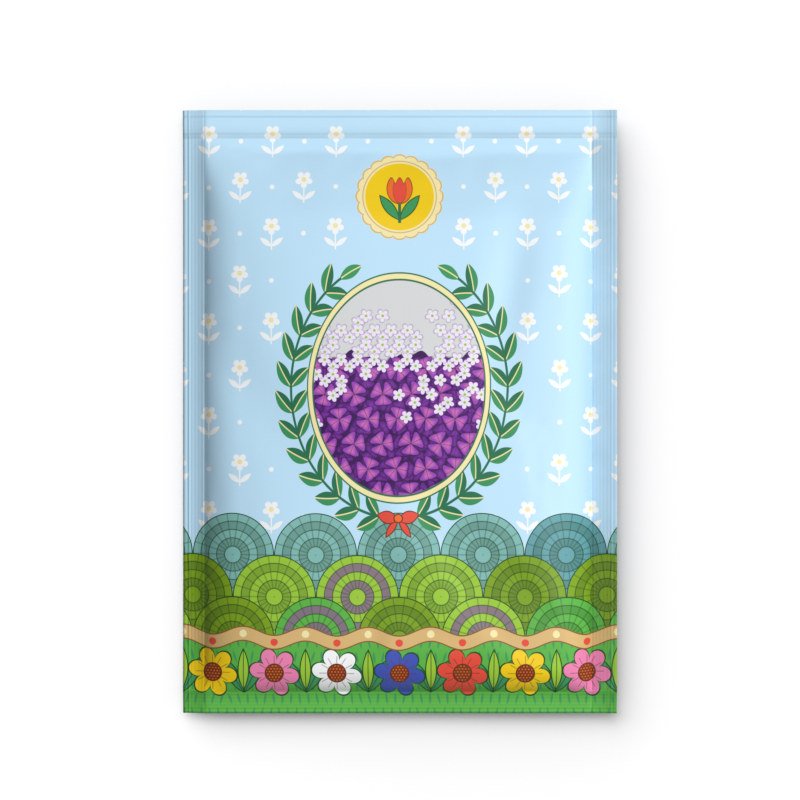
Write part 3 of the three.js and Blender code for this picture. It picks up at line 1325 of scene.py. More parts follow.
@dataclass(frozen=True)
class Dent:
    """A soft dent in the front film: its middle, half lengths, turn and depth."""

    x: float
    y: float
    along: float
    across: float
    turn: float
    depth: float

    def sunk(self, x: np.ndarray, y: np.ndarray) -> np.ndarray:
        """How deep the dent is.

        Args:
            x: The place of each point across.
            y: Its place along.

        Returns:
            The depth at each point.
        """
        cosine, sine = math.cos(math.radians(self.turn)), math.sin(math.radians(self.turn))
        right, up = x - self.x, y - self.y
        along = (right * cosine + up * sine) / self.along
        across = (up * cosine - right * sine) / self.across
        return self.depth * np.exp(-(along**2) - across**2)


@dataclass
class AirFill:
    """Lets air settle the two films by a cloth simulation, at ten times their size.

    No point moves farther than the cap, and those in a strip along the seals stay where they are.
    """

    columns: int = 46
    rows: int = 66
    frames: int = 36
    scale: float = 0.01
    pressure: float = 0.4
    slack: float = 0.0035
    bending: float = 30.0
    stretching: float = 60.0
    shearing: float = 36.0
    damping: float = 5.0
    thickness: float = 0.001
    table_half: float = 3.0
    unevenness: float = 0.15
    bump_size: float = 13.0
    seeds: tuple[int, int] = (3, 4)
    farthest: float = 0.6
    held_strip: float = 1.5
    held_fade: float = 11.0
    floor_gap: float = 0.3

    def settled(
        self, front: np.ndarray, back: np.ndarray, strip: np.ndarray
    ) -> tuple[np.ndarray, np.ndarray]:
        """Runs the simulation.

        Args:
            front: The points of the front film inside the seals, in millimetres.
            back: Those of the back film, with the same border.
            strip: How wide the flat strip under the head seal is, at each line across.

        Returns:
            The points of both films once the air has settled them.
        """
        shape = front.shape[:2]
        upper = np.arange(shape[0] * shape[1]).reshape(shape)
        border = np.ones(shape, bool)
        border[1:-1, 1:-1] = False
        lower = np.where(border, upper, 0)
        lower[~border] = upper.size + np.arange((~border).sum())
        points = np.concatenate([front.reshape(-1, 3), back[~border]]) * self.scale
        faces = np.concatenate([grid_faces(upper), grid_faces(lower)[:, ::-1]])
        mesh = bpy.data.meshes.new("air_fill")
        mesh.from_pydata(points.tolist(), [], faces.tolist())
        pouch = added(mesh, "air_fill")
        pouch.vertex_groups.new(name="sealed").add(upper[border].tolist(), 1.0, "REPLACE")
        table = self.table()
        self.add_cloth(pouch)
        step = self.last_frame(pouch) - points
        for piece in (pouch, table):
            bpy.data.meshes.remove(piece.data)
        length = np.linalg.norm(step, axis=1, keepdims=True)
        step *= np.minimum(1, self.farthest * self.scale / np.maximum(length, 1e-9))
        x, y = (points[:, :2] / self.scale).T
        strip = np.interp(x, front[:, 0, 0], strip)
        inward = np.minimum.reduce([x - x.min(), x.max() - x, y - y.min(), y.max() - y - strip])
        step *= np.clip((inward - self.held_strip) / self.held_fade, 0, 1)[:, None]
        settled = (points + step) / self.scale
        return settled[upper], settled[lower]

    def last_frame(self, pouch: Object) -> np.ndarray:
        """Steps through all frames of the simulation.

        Args:
            pouch: The pouch.

        Returns:
            Its points in the last frame.
        """
        for number in range(1, self.frames + 1):
            bpy.context.scene.frame_set(number)
        evaluated = pouch.evaluated_get(bpy.context.evaluated_depsgraph_get())
        moved = np.empty(len(pouch.data.vertices) * 3)
        evaluated.to_mesh().vertices.foreach_get("co", moved)
        evaluated.to_mesh_clear()
        bpy.context.scene.frame_set(1)
        return moved.reshape(-1, 3)

    def table(self) -> Object:
        """Makes the surface that the back film settles on.

        Returns:
            The surface.
        """
        table = square_sheet("air_fill_table", self.table_half)
        table.modifiers.new("Stop", "COLLISION")
        table.collision.thickness_outer = self.thickness
        table.collision.cloth_friction = 1
        return table

    def add_cloth(self, pouch: Object) -> None:
        """Gives the pouch its cloth: a stiff laminate that is slightly slack, with air inside.

        Args:
            pouch: The pouch.
        """
        cloth = pouch.modifiers.new("Film", "CLOTH")
        settings = cloth.settings
        settings.quality = 8
        settings.mass = 0.05
        settings.air_damping = 8
        settings.tension_stiffness = self.stretching
        settings.compression_stiffness = self.stretching
        settings.shear_stiffness = self.shearing
        for kind in ("tension", "compression", "shear"):
            setattr(settings, f"{kind}_damping", self.damping)
        settings.bending_model = "ANGULAR"
        settings.bending_stiffness = self.bending
        settings.bending_damping = 1
        settings.use_pressure = True
        settings.uniform_pressure_force = self.pressure
        settings.shrink_min = -self.slack
        settings.shrink_max = -self.slack
        settings.vertex_group_mass = "sealed"
        settings.pin_stiffness = 50
        settings.effector_weights.gravity = 0
        contact = cloth.collision_settings
        contact.distance_min = 2 * self.thickness
        contact.collision_quality = 3
        contact.use_self_collision = False
        cloth.point_cache.frame_end = self.frames + 1


@dataclass(frozen=True)
class BakeMap:
    """Where a film's faces lie on its bake map: its outer side, its inner side and its cut edge."""

    gap: float = 0.01
    outer_width: float = 0.7
    inner_start: float = 0.73
    inner_width: float = 0.23
    edge_start: float = 0.972
    edge_end: float = 0.985
    edge_share: float = 0.9

    def places(self, sheet: np.ndarray, edges: int) -> list[np.ndarray]:
        """Lays the faces out.

        Args:
            sheet: The corners of one side's faces, as shares of the film's width and length.
            edges: How many faces the cut edge has.

        Returns:
            The corners of the outer faces, of the inner faces and of the cut edge's faces.
        """
        height = 1 - 2 * self.gap
        start = np.arange(edges) / edges
        end = start + self.edge_share / edges
        along = np.stack([start, start, end, end], -1) * height + self.gap
        beside = [self.edge_start, self.edge_end, self.edge_end, self.edge_start]
        outer = sheet * (self.outer_width, height) + self.gap
        inner = sheet * (self.inner_width, height) + (self.inner_start, self.gap)
        return [outer, inner[:, ::-1], np.stack([np.broadcast_to(beside, along.shape), along], -1)]


@dataclass
class Pouch:
    """The two printed films and their four seals, in millimetres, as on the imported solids."""

    width: float = 130.0
    length: float = 180.6
    film: float = 0.12
    film_gap: float = 0.01
    seal_height: float = 7.4
    face_rise: float = 11.0
    back_sag: float = 7.3
    rim_share: float = 0.49
    rim: Crown = Crown(left=10, right=20, foot=24, head_reach=0.24)
    body: Crown = Crown(left=2.5, right=10, foot=14, head_reach=0.68)
    # The seals' shares that darken the print are painted shade, partly the bars' real dulling; the
    # foot's share of cut is a painted shadow line along its cut edge.
    left: Seal = Seal(
        6.7, 1.35, 5, slope=0.6, edge_slope=0.14, dulled=(0, 0.15, 0.7), worn=0.72, burr=0.5
    )
    right: Seal = Seal(
        7.5, 1.15, 6, slope=-0.08, edge_slope=-0.17,
        dulled=(0.5, 0.65, 0.65), grooved=(0.5, 0), worn=0.7,
    )
    foot: Seal = Seal(
        6.6, 1.25, 5, slope=0.55, edge_slope=-0.15,
        dulled=(0, 0.1, 0.65), worn=0.6, burr=0.5, burr_reach=0.4, cut=1.6,
    )
    head: Seal = Seal(
        8.4, 1.9, 5, slope=-0.18, edge_slope=0.06,
        dulled=(0, 0, 0.6), grooved=(0.4, 0.35), fade=0.85,
    )
    corner_hold: float = 0.45
    corner_lead: float = 9.0
    corner_ease: float = 18.0
    rib_pitch: float = 1.05
    rib_height: float = 0.12
    cut_width: float = 0.45
    groove_width: float = 0.45
    groove_depth: float = 0.12
    head_strip: tuple[float, ...] = (0.4, 3.0, 4.2, 3.8, 4.0, 5.2, 5.4, 4.9, 4.5, 4.4, 4.4)
    dents: tuple[Dent, ...] = (
        Dent(-43, 4, along=27, across=10.5, turn=-54, depth=1.3),
        Dent(32.5, 36, along=23, across=6.2, turn=81, depth=1.4),
    )
    wave: float = 0.3
    wave_size: float = 34.0
    wave_fade: float = 9.0
    wave_seed: int = 11
    pucker: float = 0.14
    pucker_size: float = 5.5
    pucker_reach: float = 4.0
    pucker_lead: float = 14.0
    pucker_seeds: tuple[int, int] = (21, 22)
    margin_steps: int = 4
    rib_steps: int = 6
    land_steps: int = 3
    panel_steps: tuple[int, int] = (84, 118)
    first_rib: float = 0.6
    rib_mottle: float = 55.0
    rib_unevenness: float = 0.6
    rib_seed: float = 4.0
    crease: float = 50.0
    air: AirFill = field(default_factory=AirFill)

    @property
    def panel(self) -> tuple[float, float, float, float]:
        """The inner lines of the left, right, foot and head seals.

        Returns:
            Two places across and two along.
        """
        return (
            self.left.width - self.width / 2,
            self.width / 2 - self.right.width,
            self.foot.width - self.length / 2,
            self.length / 2 - self.head.width,
        )

    def shares(self, x: np.ndarray, y: np.ndarray) -> tuple[np.ndarray, np.ndarray]:
        """Finds where points are between the seals.

        Args:
            x: The place of each point across.
            y: Its place along.

        Returns:
            The shares across and along, from -1 to 1.
        """
        left, right, foot, head = self.panel
        across = np.clip((2 * x - left - right) / (right - left), -1, 1)
        along = np.clip((2 * y - foot - head) / (head - foot), -1, 1)
        return across, along

    def strip_under_head(self, x: np.ndarray) -> np.ndarray:
        """How far the film stays flat below the head seal.

        Args:
            x: The lines across.

        Returns:
            The strip's width at each line.
        """
        left, right = self.panel[:2]
        share = np.clip((x - left) / (right - left), 0, 1)
        return resampled(np.array(self.head_strip), share * (len(self.head_strip) - 1))

    def air_lines(self) -> tuple[np.ndarray, np.ndarray]:
        """Sets out the simulated grid.

        Returns:
            Its lines across and along.
        """
        left, right, foot, head = self.panel
        across = left + eased(self.air.columns) * (right - left)
        return across, foot + eased(self.air.rows) * (head - foot)

    def blown(self) -> tuple[np.ndarray, np.ndarray]:
        """Gives both films their form inside the seals.

        Returns:
            A grid of points for the front film and one for the back film.
        """
        x, y = self.air_lines()
        wide, high = np.meshgrid(x, y, indexing="ij")
        across, along = self.shares(wide, high)
        strip = self.strip_under_head(x)[:, None] * 2 / np.ptp(y)
        rim, body = (crown.left_over(across, along, strip) for crown in (self.rim, self.body))
        crown = self.rim_share * rim + (1 - self.rim_share) * body
        sunk = sum(dent.sunk(wide, high) for dent in self.dents)
        above, below = (
            self.air.unevenness * soft_noise(x, y, self.air.bump_size, seed)
            for seed in self.air.seeds
        )
        rise = self.seal_height + crown * (self.face_rise + above) - rim * sunk
        sag = np.maximum(0, self.seal_height - crown * (self.back_sag + below))
        front = np.stack([wide, high, rise], -1)
        back = np.stack([wide, high, sag], -1)
        front, back = self.air.settled(front, back, self.strip_under_head(x))
        lowered = self.air.floor_gap * (1 - back[..., 2] / self.seal_height)
        back[..., 2] = np.maximum(0, back[..., 2] - lowered)
        return front, back

    def lines(self, first: Seal, last: Seal, span: float, count: int) -> np.ndarray:
        """Sets out the fine grid's lines in one direction.

        Args:
            first: The seal at the low end.
            last: The seal at the high end.
            span: The packet's size in this direction.
            count: How many steps the panel between the seals has.

        Returns:
            The lines, from one cut edge to the other.
        """

        def inward(seal: Seal) -> np.ndarray:
            """Sets out a seal's lines.

            Args:
                seal: The seal.

            Returns:
                The lines from its cut edge, without the panel's first line.
            """
            ribbed = seal.margin + seal.ribs * self.rib_pitch
            margin = np.linspace(0, seal.margin, self.margin_steps, endpoint=False)
            ribs = np.linspace(seal.margin, ribbed, self.rib_steps * seal.ribs, endpoint=False)
            land = np.linspace(ribbed, seal.width, self.land_steps, endpoint=False)
            return np.concatenate([margin, ribs, land])

        start, end = first.width - span / 2, span / 2 - last.width
        panel = start + eased(count) * (end - start)
        return np.concatenate([inward(first) - span / 2, panel, span / 2 - inward(last)[::-1]])

    def film_points(self, side: Side, blown: np.ndarray) -> tuple[np.ndarray, np.ndarray, np.ndarray]:
        """Lays the fine grid over a film.

        Args:
            side: Which film.
            blown: The grid of points inside the seals.

        Returns:
            The flat places, the outer points and the inner points.
        """
        x = self.lines(self.left, self.right, self.width, self.panel_steps[0])
        y = self.lines(self.foot, self.head, self.length, self.panel_steps[1])
        left, right, foot, head = self.panel
        wide, high = np.meshgrid(x, y, indexing="ij")
        steps_x, steps_y = (
            np.interp(fine, coarse, np.arange(len(coarse)))
            for fine, coarse in zip((x, y), self.air_lines())
        )
        across = resampled(blown, steps_x)
        inside = resampled(across.swapaxes(0, 1), steps_y).swapaxes(0, 1)
        shift_x = inside[..., 0] - np.clip(wide, left, right)
        shift_y = inside[..., 1] - np.clip(high, foot, head)
        height = inside[..., 2] + self.seal_form(side, x, y)
        surface = np.stack([wide + shift_x, high + shift_y, height], -1)
        if side is Side.BACK:
            surface[..., 2] = np.maximum(surface[..., 2], self.film + self.film_gap)
        up = np.array([0, 0, side.value])
        inner = surface + up * self.film_gap / 2
        outer = inner + up * self.film
        if side is Side.BACK:
            sunk = outer[..., 2].min()
            outer[..., 2] -= sunk
            inner[..., 2] -= sunk
        return np.stack([wide, high], -1), outer, inner

    def seal_form(self, side: Side, x: np.ndarray, y: np.ndarray) -> np.ndarray:
        """How the seals stray from flat, and how they gather the film just inside them.

        Args:
            side: Which film.
            x: The grid's lines across.
            y: Its lines along.

        Returns:
            The height to add at each crossing.
        """
        left, right, foot, head = self.panel
        past_end = np.maximum(foot - y, y - head)[None] + self.corner_lead
        at_end = np.clip(past_end / self.corner_ease, 0, 1)
        held = self.corner_hold * at_end**2 * (3 - 2 * at_end)
        across = self.left.fallen((left - x)[:, None], held)
        across = across + self.right.fallen((x - right)[:, None], held)
        along = self.foot.fallen(foot - y) + self.head.fallen(y - head)
        in_x = np.maximum(np.minimum(x - left, right - x), 0)[:, None]
        strip = self.strip_under_head(x)[:, None]
        in_y = np.maximum(np.minimum(y[None] - foot, head - strip - y[None]), 0)
        inward = np.minimum(in_x, in_y)
        wave = soft_noise(x, y, self.wave_size, self.wave_seed)
        wave = self.wave * wave * np.exp(-inward / self.wave_fade)
        pucker = np.zeros((len(x), len(y)))
        for seed, depth, other in zip(self.pucker_seeds, (in_x, in_y), (in_y, in_x)):
            gathers = soft_noise(x, y, self.pucker_size, seed + side.value)
            reach = depth / self.pucker_reach
            lead = np.minimum(1, other / self.pucker_lead)
            pucker += gathers * reach * np.exp(1 - reach) * lead
        return wave + self.pucker * pucker - across - along[None]

    def film_mesh(self, side: Side, name: str, blown: np.ndarray) -> Mesh:
        """Makes a film as one closed skin, with its print map and its bake map.

        Args:
            side: Which film.
            name: The mesh's name.
            blown: The grid of points inside the seals.

        Returns:
            The mesh, before its ribs are pressed.
        """
        flat, outer, inner = self.film_points(side, blown)
        shape = outer.shape[:2]
        count = shape[0] * shape[1]
        ids = np.arange(count).reshape(shape)
        sheet = grid_faces(ids)
        rim = np.concatenate([ids[:-1, 0], ids[-1, :-1], ids[:0:-1, -1], ids[0, :0:-1]])
        after = np.roll(rim, -1)
        wall = np.stack([rim, rim + count, after + count, after], -1)
        shares = (flat / (self.width, self.length) + 0.5).reshape(-1, 2)
        baked = BakeMap().places(shares[sheet], len(rim))
        faces = [sheet, sheet[:, ::-1] + count, wall]
        if side is Side.BACK:
            faces = [group[:, ::-1] for group in faces]
            baked = [group[:, ::-1] for group in baked]
            shares = shares * (-1, 1) + (1, 0)
        corners = np.concatenate(faces)
        mesh = bpy.data.meshes.new(name)
        points = np.concatenate([outer.reshape(-1, 3), inner.reshape(-1, 3)]) * MM
        mesh.from_pydata(points.tolist(), [], corners.tolist())
        printed = np.tile(shares, (2, 1))[corners.ravel()]
        for label, values in ((PRINT_MAP, printed), (BAKE_MAP, np.concatenate(baked))):
            layer = mesh.uv_layers.new(name=label)
            layer.data.foreach_set("uv", values.astype(np.float32).ravel())
        place = np.tile(np.dstack([flat, np.zeros(shape)]).reshape(-1, 3), (2, 1)) * MM
        stored = mesh.attributes.new(FLAT_PLACE, "FLOAT_VECTOR", "POINT")
        stored.data.foreach_set("vector", place.astype(np.float32).ravel())
        part = np.repeat(np.arange(3.0), [len(group) for group in faces])
        stored = mesh.attributes.new(FACE_PART, "FLOAT", "FACE")
        stored.data.foreach_set("value", part.astype(np.float32))
        mesh.shade_smooth()
        return mesh

    def rib_press(self) -> NodeTree:
        """Builds the Geometry Nodes that press the ribs in the four seals.

        Returns:
            The tree.
        """
        tree, given = new_geometry_tree(
            "press_seals",
            {
                "Film": "Geometry",
                **dict.fromkeys(FILM_FACTS, "Float"),
                "Unevenness": "Float",
                "Seed": "Float",
                **{f"{name} {fact}": "Float" for fact in SEAL_FACTS for name in SEAL_NAMES},
                "Printed": "Material",
                "Inside": "Material",
                "Cut Edge": "Material",
            },
        )
        flat = stored_value(tree, FLAT_PLACE, "FLOAT_VECTOR")
        x, y, _ = parted(flat)
        half_width, half_length = (given[size] * 0.5 for size in ("Width", "Length"))
        inward = {
            "Left": x + half_width,
            "Right": half_width - x,
            "Foot": y + half_length,
            "Head": half_length - y,
        }
        turned = {
            name: (distance - given[f"{name} Margin"]) / given["Rib Pitch"]
            for name, distance in inward.items()
        }
        at_foot, at_head = (
            (given[f"{name} Ribs"] + 1.0 - turned[name]).share() for name in ("Foot", "Head")
        )
        crossed = at_foot.most(at_head)
        highest: Wire | float = 0.0
        deepest: Wire | float = 0.0
        for name, turns in turned.items():
            count = given[f"{name} Ribs"]
            within = turns.above(0.0) * (count - turns).above(0.0)
            crest = (turns * TURN).math("COSINE").math("MULTIPLY_ADD", -0.5, 0.5)
            middle = (turns / count * math.pi).math("SINE")
            inner = (turns - self.first_rib).share()
            left = 1.0 - inner * given[f"{name} Worn"]
            left = left * (1.0 - middle * given[f"{name} Fade"])
            if name in ("Left", "Right"):
                left = left * (1.0 - turns / count * crossed)
            highest = highest + crest * within * left
            off_edge = abs(turns).least(abs(turns - count)) * given["Rib Pitch"]
            deepest = (1.0 - off_edge / given["Groove Width"]).most(deepest)
        mottle = noise_at(flat, self.rib_mottle, seed=given["Seed"]) - 0.5
        pressed = mottle * given["Unevenness"] + 1.0
        ribs = highest * pressed * given["Rib Height"]
        raised = {"Z": ribs - deepest * given["Groove Depth"]}
        offset = Wire(add_node(tree, "ShaderNodeCombineXYZ", raised).outputs[0])
        moved = add_node(
            tree, "GeometryNodeSetPosition", {"Geometry": given["Film"], "Offset": offset}
        )
        part = stored_value(tree, FACE_PART, "FLOAT")
        dressed = [
            (given[name], part.math("COMPARE", float(number), 0.5))
            for number, name in enumerate(("Printed", "Inside", "Cut Edge"))
        ]
        finish_tree(tree, Wire(moved.outputs["Geometry"]), dressed)
        return tree

    def build(
        self, side: Side, blown: np.ndarray, press: NodeTree, finishes: dict[str, Material]
    ) -> Object:
        """Builds a film, presses its ribs and dresses it.

        Args:
            side: Which film.
            blown: The grid of points inside the seals.
            press: The Geometry Nodes that press the ribs.
            finishes: The materials for its printed side, its inside and its cut edge.

        Returns:
            The finished piece.
        """
        label = side.name.lower()
        name = f"printed_{label}_film"
        film = added(self.film_mesh(side, name, blown), name)
        seals = dict(zip(SEAL_NAMES, (self.left, self.right, self.foot, self.head)))
        sizes = (
            self.width, self.length, self.rib_pitch, self.rib_height, self.groove_width,
            self.groove_depth,
        )
        plain = grown(film, press, {
            **{fact: size * MM for fact, size in zip(FILM_FACTS, sizes)},
            "Unevenness": self.rib_unevenness,
            "Seed": self.rib_seed,
            **{
                f"{edge} {fact}": value
                for edge, seal in seals.items()
                for fact, value in seal.facts().items()
            },
            **finishes,
        })
        plain.set_sharp_from_angle(angle=math.radians(self.crease))
        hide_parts(f"{label}_film")
        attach(film, "root")
        report(film)
        return film


# ----------------------------------------
# Geometry Nodes


def added(mesh: Mesh, name: str) -> Object:
    """Puts a mesh in the scene as an object.

    Args:
        mesh: The mesh.
        name: The object's name.

    Returns:
        The object.
    """
    piece = bpy.data.objects.new(name, mesh)
    bpy.context.scene.collection.objects.link(piece)
    return piece


def square_sheet(name: str, half: float) -> Object:
    """Puts a flat square in the scene.

    Args:
        name: Its name.
        half: Half its side, in metres.

    Returns:
        The square.
    """
    mesh = bpy.data.meshes.new(name)
    corners = [(-half, -half, 0), (half, -half, 0), (half, half, 0), (-half, half, 0)]
    mesh.from_pydata(corners, [], [(0, 1, 2, 3)])
    return added(mesh, name)


def new_geometry_tree(name: str, inputs: dict[str, str]) -> tuple[NodeTree, dict[str, Wire]]:
    """Starts a Geometry Nodes tree.

    Args:
        name: The tree's name.
        inputs: Each input's name, with its kind of socket.

    Returns:
        The tree, and its inputs.
    """
    tree = bpy.data.node_groups.new(name, "GeometryNodeTree")
    for label, kind in inputs.items():
        tree.interface.new_socket(label, in_out="INPUT", socket_type=f"NodeSocket{kind}")
    tree.interface.new_socket("Piece", in_out="OUTPUT", socket_type="NodeSocketGeometry")
    source = add_node(tree, "NodeGroupInput")
    return tree, {label: Wire(source.outputs[label]) for label in inputs}


def stored_value(tree: NodeTree, name: str, kind: str) -> Wire:
    """Reads an attribute of the mesh by its name, with the kind of data that it holds."""
    node = add_node(tree, "GeometryNodeInputNamedAttribute", {"Name": name}, data_type=kind)
    return next(Wire(socket) for socket in node.outputs if socket.enabled)


def moved_points(tree: NodeTree, mesh: Node, place: Wire) -> Wire:
    """Moves each point of a mesh node's shape to its place, and returns the shape."""
    values = {"Geometry": Wire(mesh.outputs["Mesh"]), "Position": place}
    return Wire(add_node(tree, "GeometryNodeSetPosition", values).outputs["Geometry"])


def finish_tree(tree: NodeTree, geometry: Wire, dressed: list[tuple[Wire, Wire | bool]]) -> None:
    """Ends a tree: makes its instances real and sets their materials.

    Args:
        tree: The tree.
        geometry: What it has made.
        dressed: Each material, with the faces that it goes on.
    """
    made = add_node(tree, "GeometryNodeRealizeInstances", {"Geometry": geometry})
    for material, chosen in dressed:
        values = {"Geometry": Wire(made.outputs[0]), "Selection": chosen, "Material": material}
        made = add_node(tree, "GeometryNodeSetMaterial", values)
    add_node(tree, "NodeGroupOutput", {"Piece": Wire(made.outputs[0])})


def grown(piece: Object, tree: NodeTree, values: dict[str, float | Material]) -> Mesh:
    """Runs a Geometry Nodes tree on a piece and keeps the result as its plain mesh.

    Args:
        piece: The piece.
        tree: The tree.
        values: The tree's inputs by name.

    Returns:
        The new mesh.
    """
    modifier = piece.modifiers.new(tree.name, "NODES")
    modifier.node_group = tree
    for socket in tree.interface.items_tree:
        if socket.item_type == "SOCKET" and socket.in_out == "INPUT" and socket.name in values:
            modifier[socket.identifier] = values[socket.name]
    evaluated = piece.evaluated_get(bpy.context.evaluated_depsgraph_get())
    mesh = bpy.data.meshes.new_from_object(evaluated)
    piece.modifiers.remove(modifier)
    old = piece.data
    piece.data = mesh
    bpy.data.meshes.remove(old)
    mesh.name = piece.name
    if mesh.materials[0] is None:
        mesh.materials.pop(index=0)
    return mesh


def report(piece: Object) -> None:
    """Logs a finished piece with its size and its triangles.

    Args:
        piece: The piece.
    """
    piece.data.calc_loop_triangles()
    size = " x ".join(f"{side / MM:.1f}" for side in piece.dimensions)
    LOG.info("%s: %s mm, %d triangles", piece.name, size, len(piece.data.loop_triangles))


# ----------------------------------------
# The bulbs


@dataclass(frozen=True)
class Bulb:
    """One bulb, by its length and thickness, its place, and the turn of its tip, in mm and degrees."""

    length: float
    girth: float
    x: float
    y: float
    turn: float


@dataclass(frozen=True)
class BulbGrowth:
    """How a bulb grows: a core, and scales on a spiral round it.

    The core's radius goes by a sine of a power of the place along it, raised to another power. A scale
    is narrower towards its tip, cupped and tilted. It faces down near the base and up near the tip. Its
    size goes by the core's radius there and by the bulb's own, and a drawn number spreads it.
    """

    widest_place: float = 0.75
    roundness: float = 0.62
    segments: int = 24
    rings: int = 16
    least_radius: float = 0.0001
    leaf_width: float = 0.86
    leaf_taper: float = 0.16
    leaf_thickness: float = 0.17
    leaf_cup: float = 0.36
    leaf_tilt: float = 0.1
    first_scale: float = 0.35
    crowding: float = 0.92
    rooted: float = 0.86
    upright_place: float = 0.42
    lean: float = 1.5
    size_by_place: float = 0.55
    size_by_bulb: float = 0.16
    size_spread: float = 0.3

    def tree(self) -> NodeTree:
        """Builds the Geometry Nodes that grow a bulb.

        Returns:
            The tree.
        """
        tree, given = new_geometry_tree(
            "scaly_bulb",
            {
                "Base": "Geometry",
                "Length": "Float",
                "Girth": "Float",
                "Scale Count": "Int",
                "Scale Lift": "Float",
                "Seed": "Int",
                "Scales": "Material",
            },
        )
        widest = given["Girth"] * 0.5 / (given["Scale Lift"] + 1.0)
        place = parted(Wire(add_node(tree, "GeometryNodeInputPosition").outputs[0]))
        both = add_node(tree, "GeometryNodeJoinGeometry")
        for made in (
            self.core(tree, place, given["Length"], widest),
            self.scales(tree, self.leaf(tree, place), given, widest),
        ):
            plug(made, both.inputs["Geometry"])
        finish_tree(tree, Wire(both.outputs["Geometry"]), [(given["Scales"], True)])
        return tree

    def radius_at(self, share: Wire, widest: Wire) -> Wire:
        """The core's radius at a share of its length."""
        swell = (share.math("POWER", self.widest_place) * math.pi).math("SINE").most(0.0)
        return swell.math("POWER", self.roundness) * widest

    def core(self, tree: NodeTree, place: tuple[Wire, ...], length: Wire, widest: Wire) -> Wire:
        """Shapes the core from a ball.

        Args:
            tree: The bulb's tree.
            place: The place of each point.
            length: The bulb's length.
            widest: The core's largest radius.

        Returns:
            The core.
        """
        values = {"Segments": self.segments, "Rings": self.rings, "Radius": 1.0}
        ball = add_node(tree, "GeometryNodeMeshUVSphere", values)
        x, y, z = place
        share = (z + 1.0) * 0.5
        reach = self.radius_at(share, widest) / Spot(x, y).radius().most(self.least_radius)
        return moved_points(tree, ball, joined(x * reach, y * reach, share * length))

    def leaf(self, tree: NodeTree, place: tuple[Wire, ...]) -> Wire:
        """Shapes one scale from a ball, with its tip along Y.

        Args:
            tree: The bulb's tree.
            place: The place of each point.

        Returns:
            The scale.
        """
        values = {"Radius": 1.0, "Subdivisions": 2}
        blank = add_node(tree, "GeometryNodeMeshIcoSphere", values)
        x, y, z = place
        narrowed = x * (self.leaf_width - (y + 1.0).math("POWER", 2.0) * self.leaf_taper)
        cupped = z * self.leaf_thickness - x * x * self.leaf_cup + y * self.leaf_tilt
        return moved_points(tree, blank, joined(narrowed, y, cupped))

    def scales(self, tree: NodeTree, leaf: Wire, given: dict[str, Wire], widest: Wire) -> Wire:
        """Sets the scales on a spiral round the core.

        Args:
            tree: The bulb's tree.
            leaf: The scale to repeat.
            given: The tree's inputs.
            widest: The core's largest radius.

        Returns:
            The scales, each of which carries its drawn number.
        """
        length, count = given["Length"], given["Scale Count"]
        index = Wire(add_node(tree, "GeometryNodeInputIndex").outputs[0])
        place = ((index + self.first_scale) / count).math("POWER", self.crowding)
        angle = index * GOLDEN_TURN
        cosine, sine = angle.math("COSINE"), angle.math("SINE")
        radius = self.radius_at(place, widest)
        root = radius * self.rooted
        spiral = joined(cosine * root, sine * root, place * length)
        spots = add_node(tree, "GeometryNodePoints", {"Count": count, "Position": spiral})
        outwards = joined(cosine, sine, (place - self.upright_place) * self.lean)
        turn = add_node(
            tree, "FunctionNodeAxesToRotation",
            {"Primary Axis": outwards, "Secondary Axis": (0, 0, 1)},
            primary_axis="Z", secondary_axis="Y",
        )
        drawn = Wire(add_node(tree, "FunctionNodeRandomValue", {"Seed": given["Seed"]}).outputs[1])
        usual = radius * self.size_by_place + widest * self.size_by_bulb
        size = usual * (drawn * self.size_spread + (1 - self.size_spread / 2))
        leaves = add_node(tree, "GeometryNodeInstanceOnPoints", {
            "Points": Wire(spots.outputs[0]),
            "Instance": leaf,
            "Rotation": Wire(turn.outputs[0]),
            "Scale": size,
        })
        marked = add_node(
            tree, "GeometryNodeStoreNamedAttribute",
            {"Geometry": Wire(leaves.outputs[0]), "Name": SCALE_LOT, "Value": drawn},
            data_type="FLOAT", domain="INSTANCE",
        )
        return Wire(marked.outputs["Geometry"])


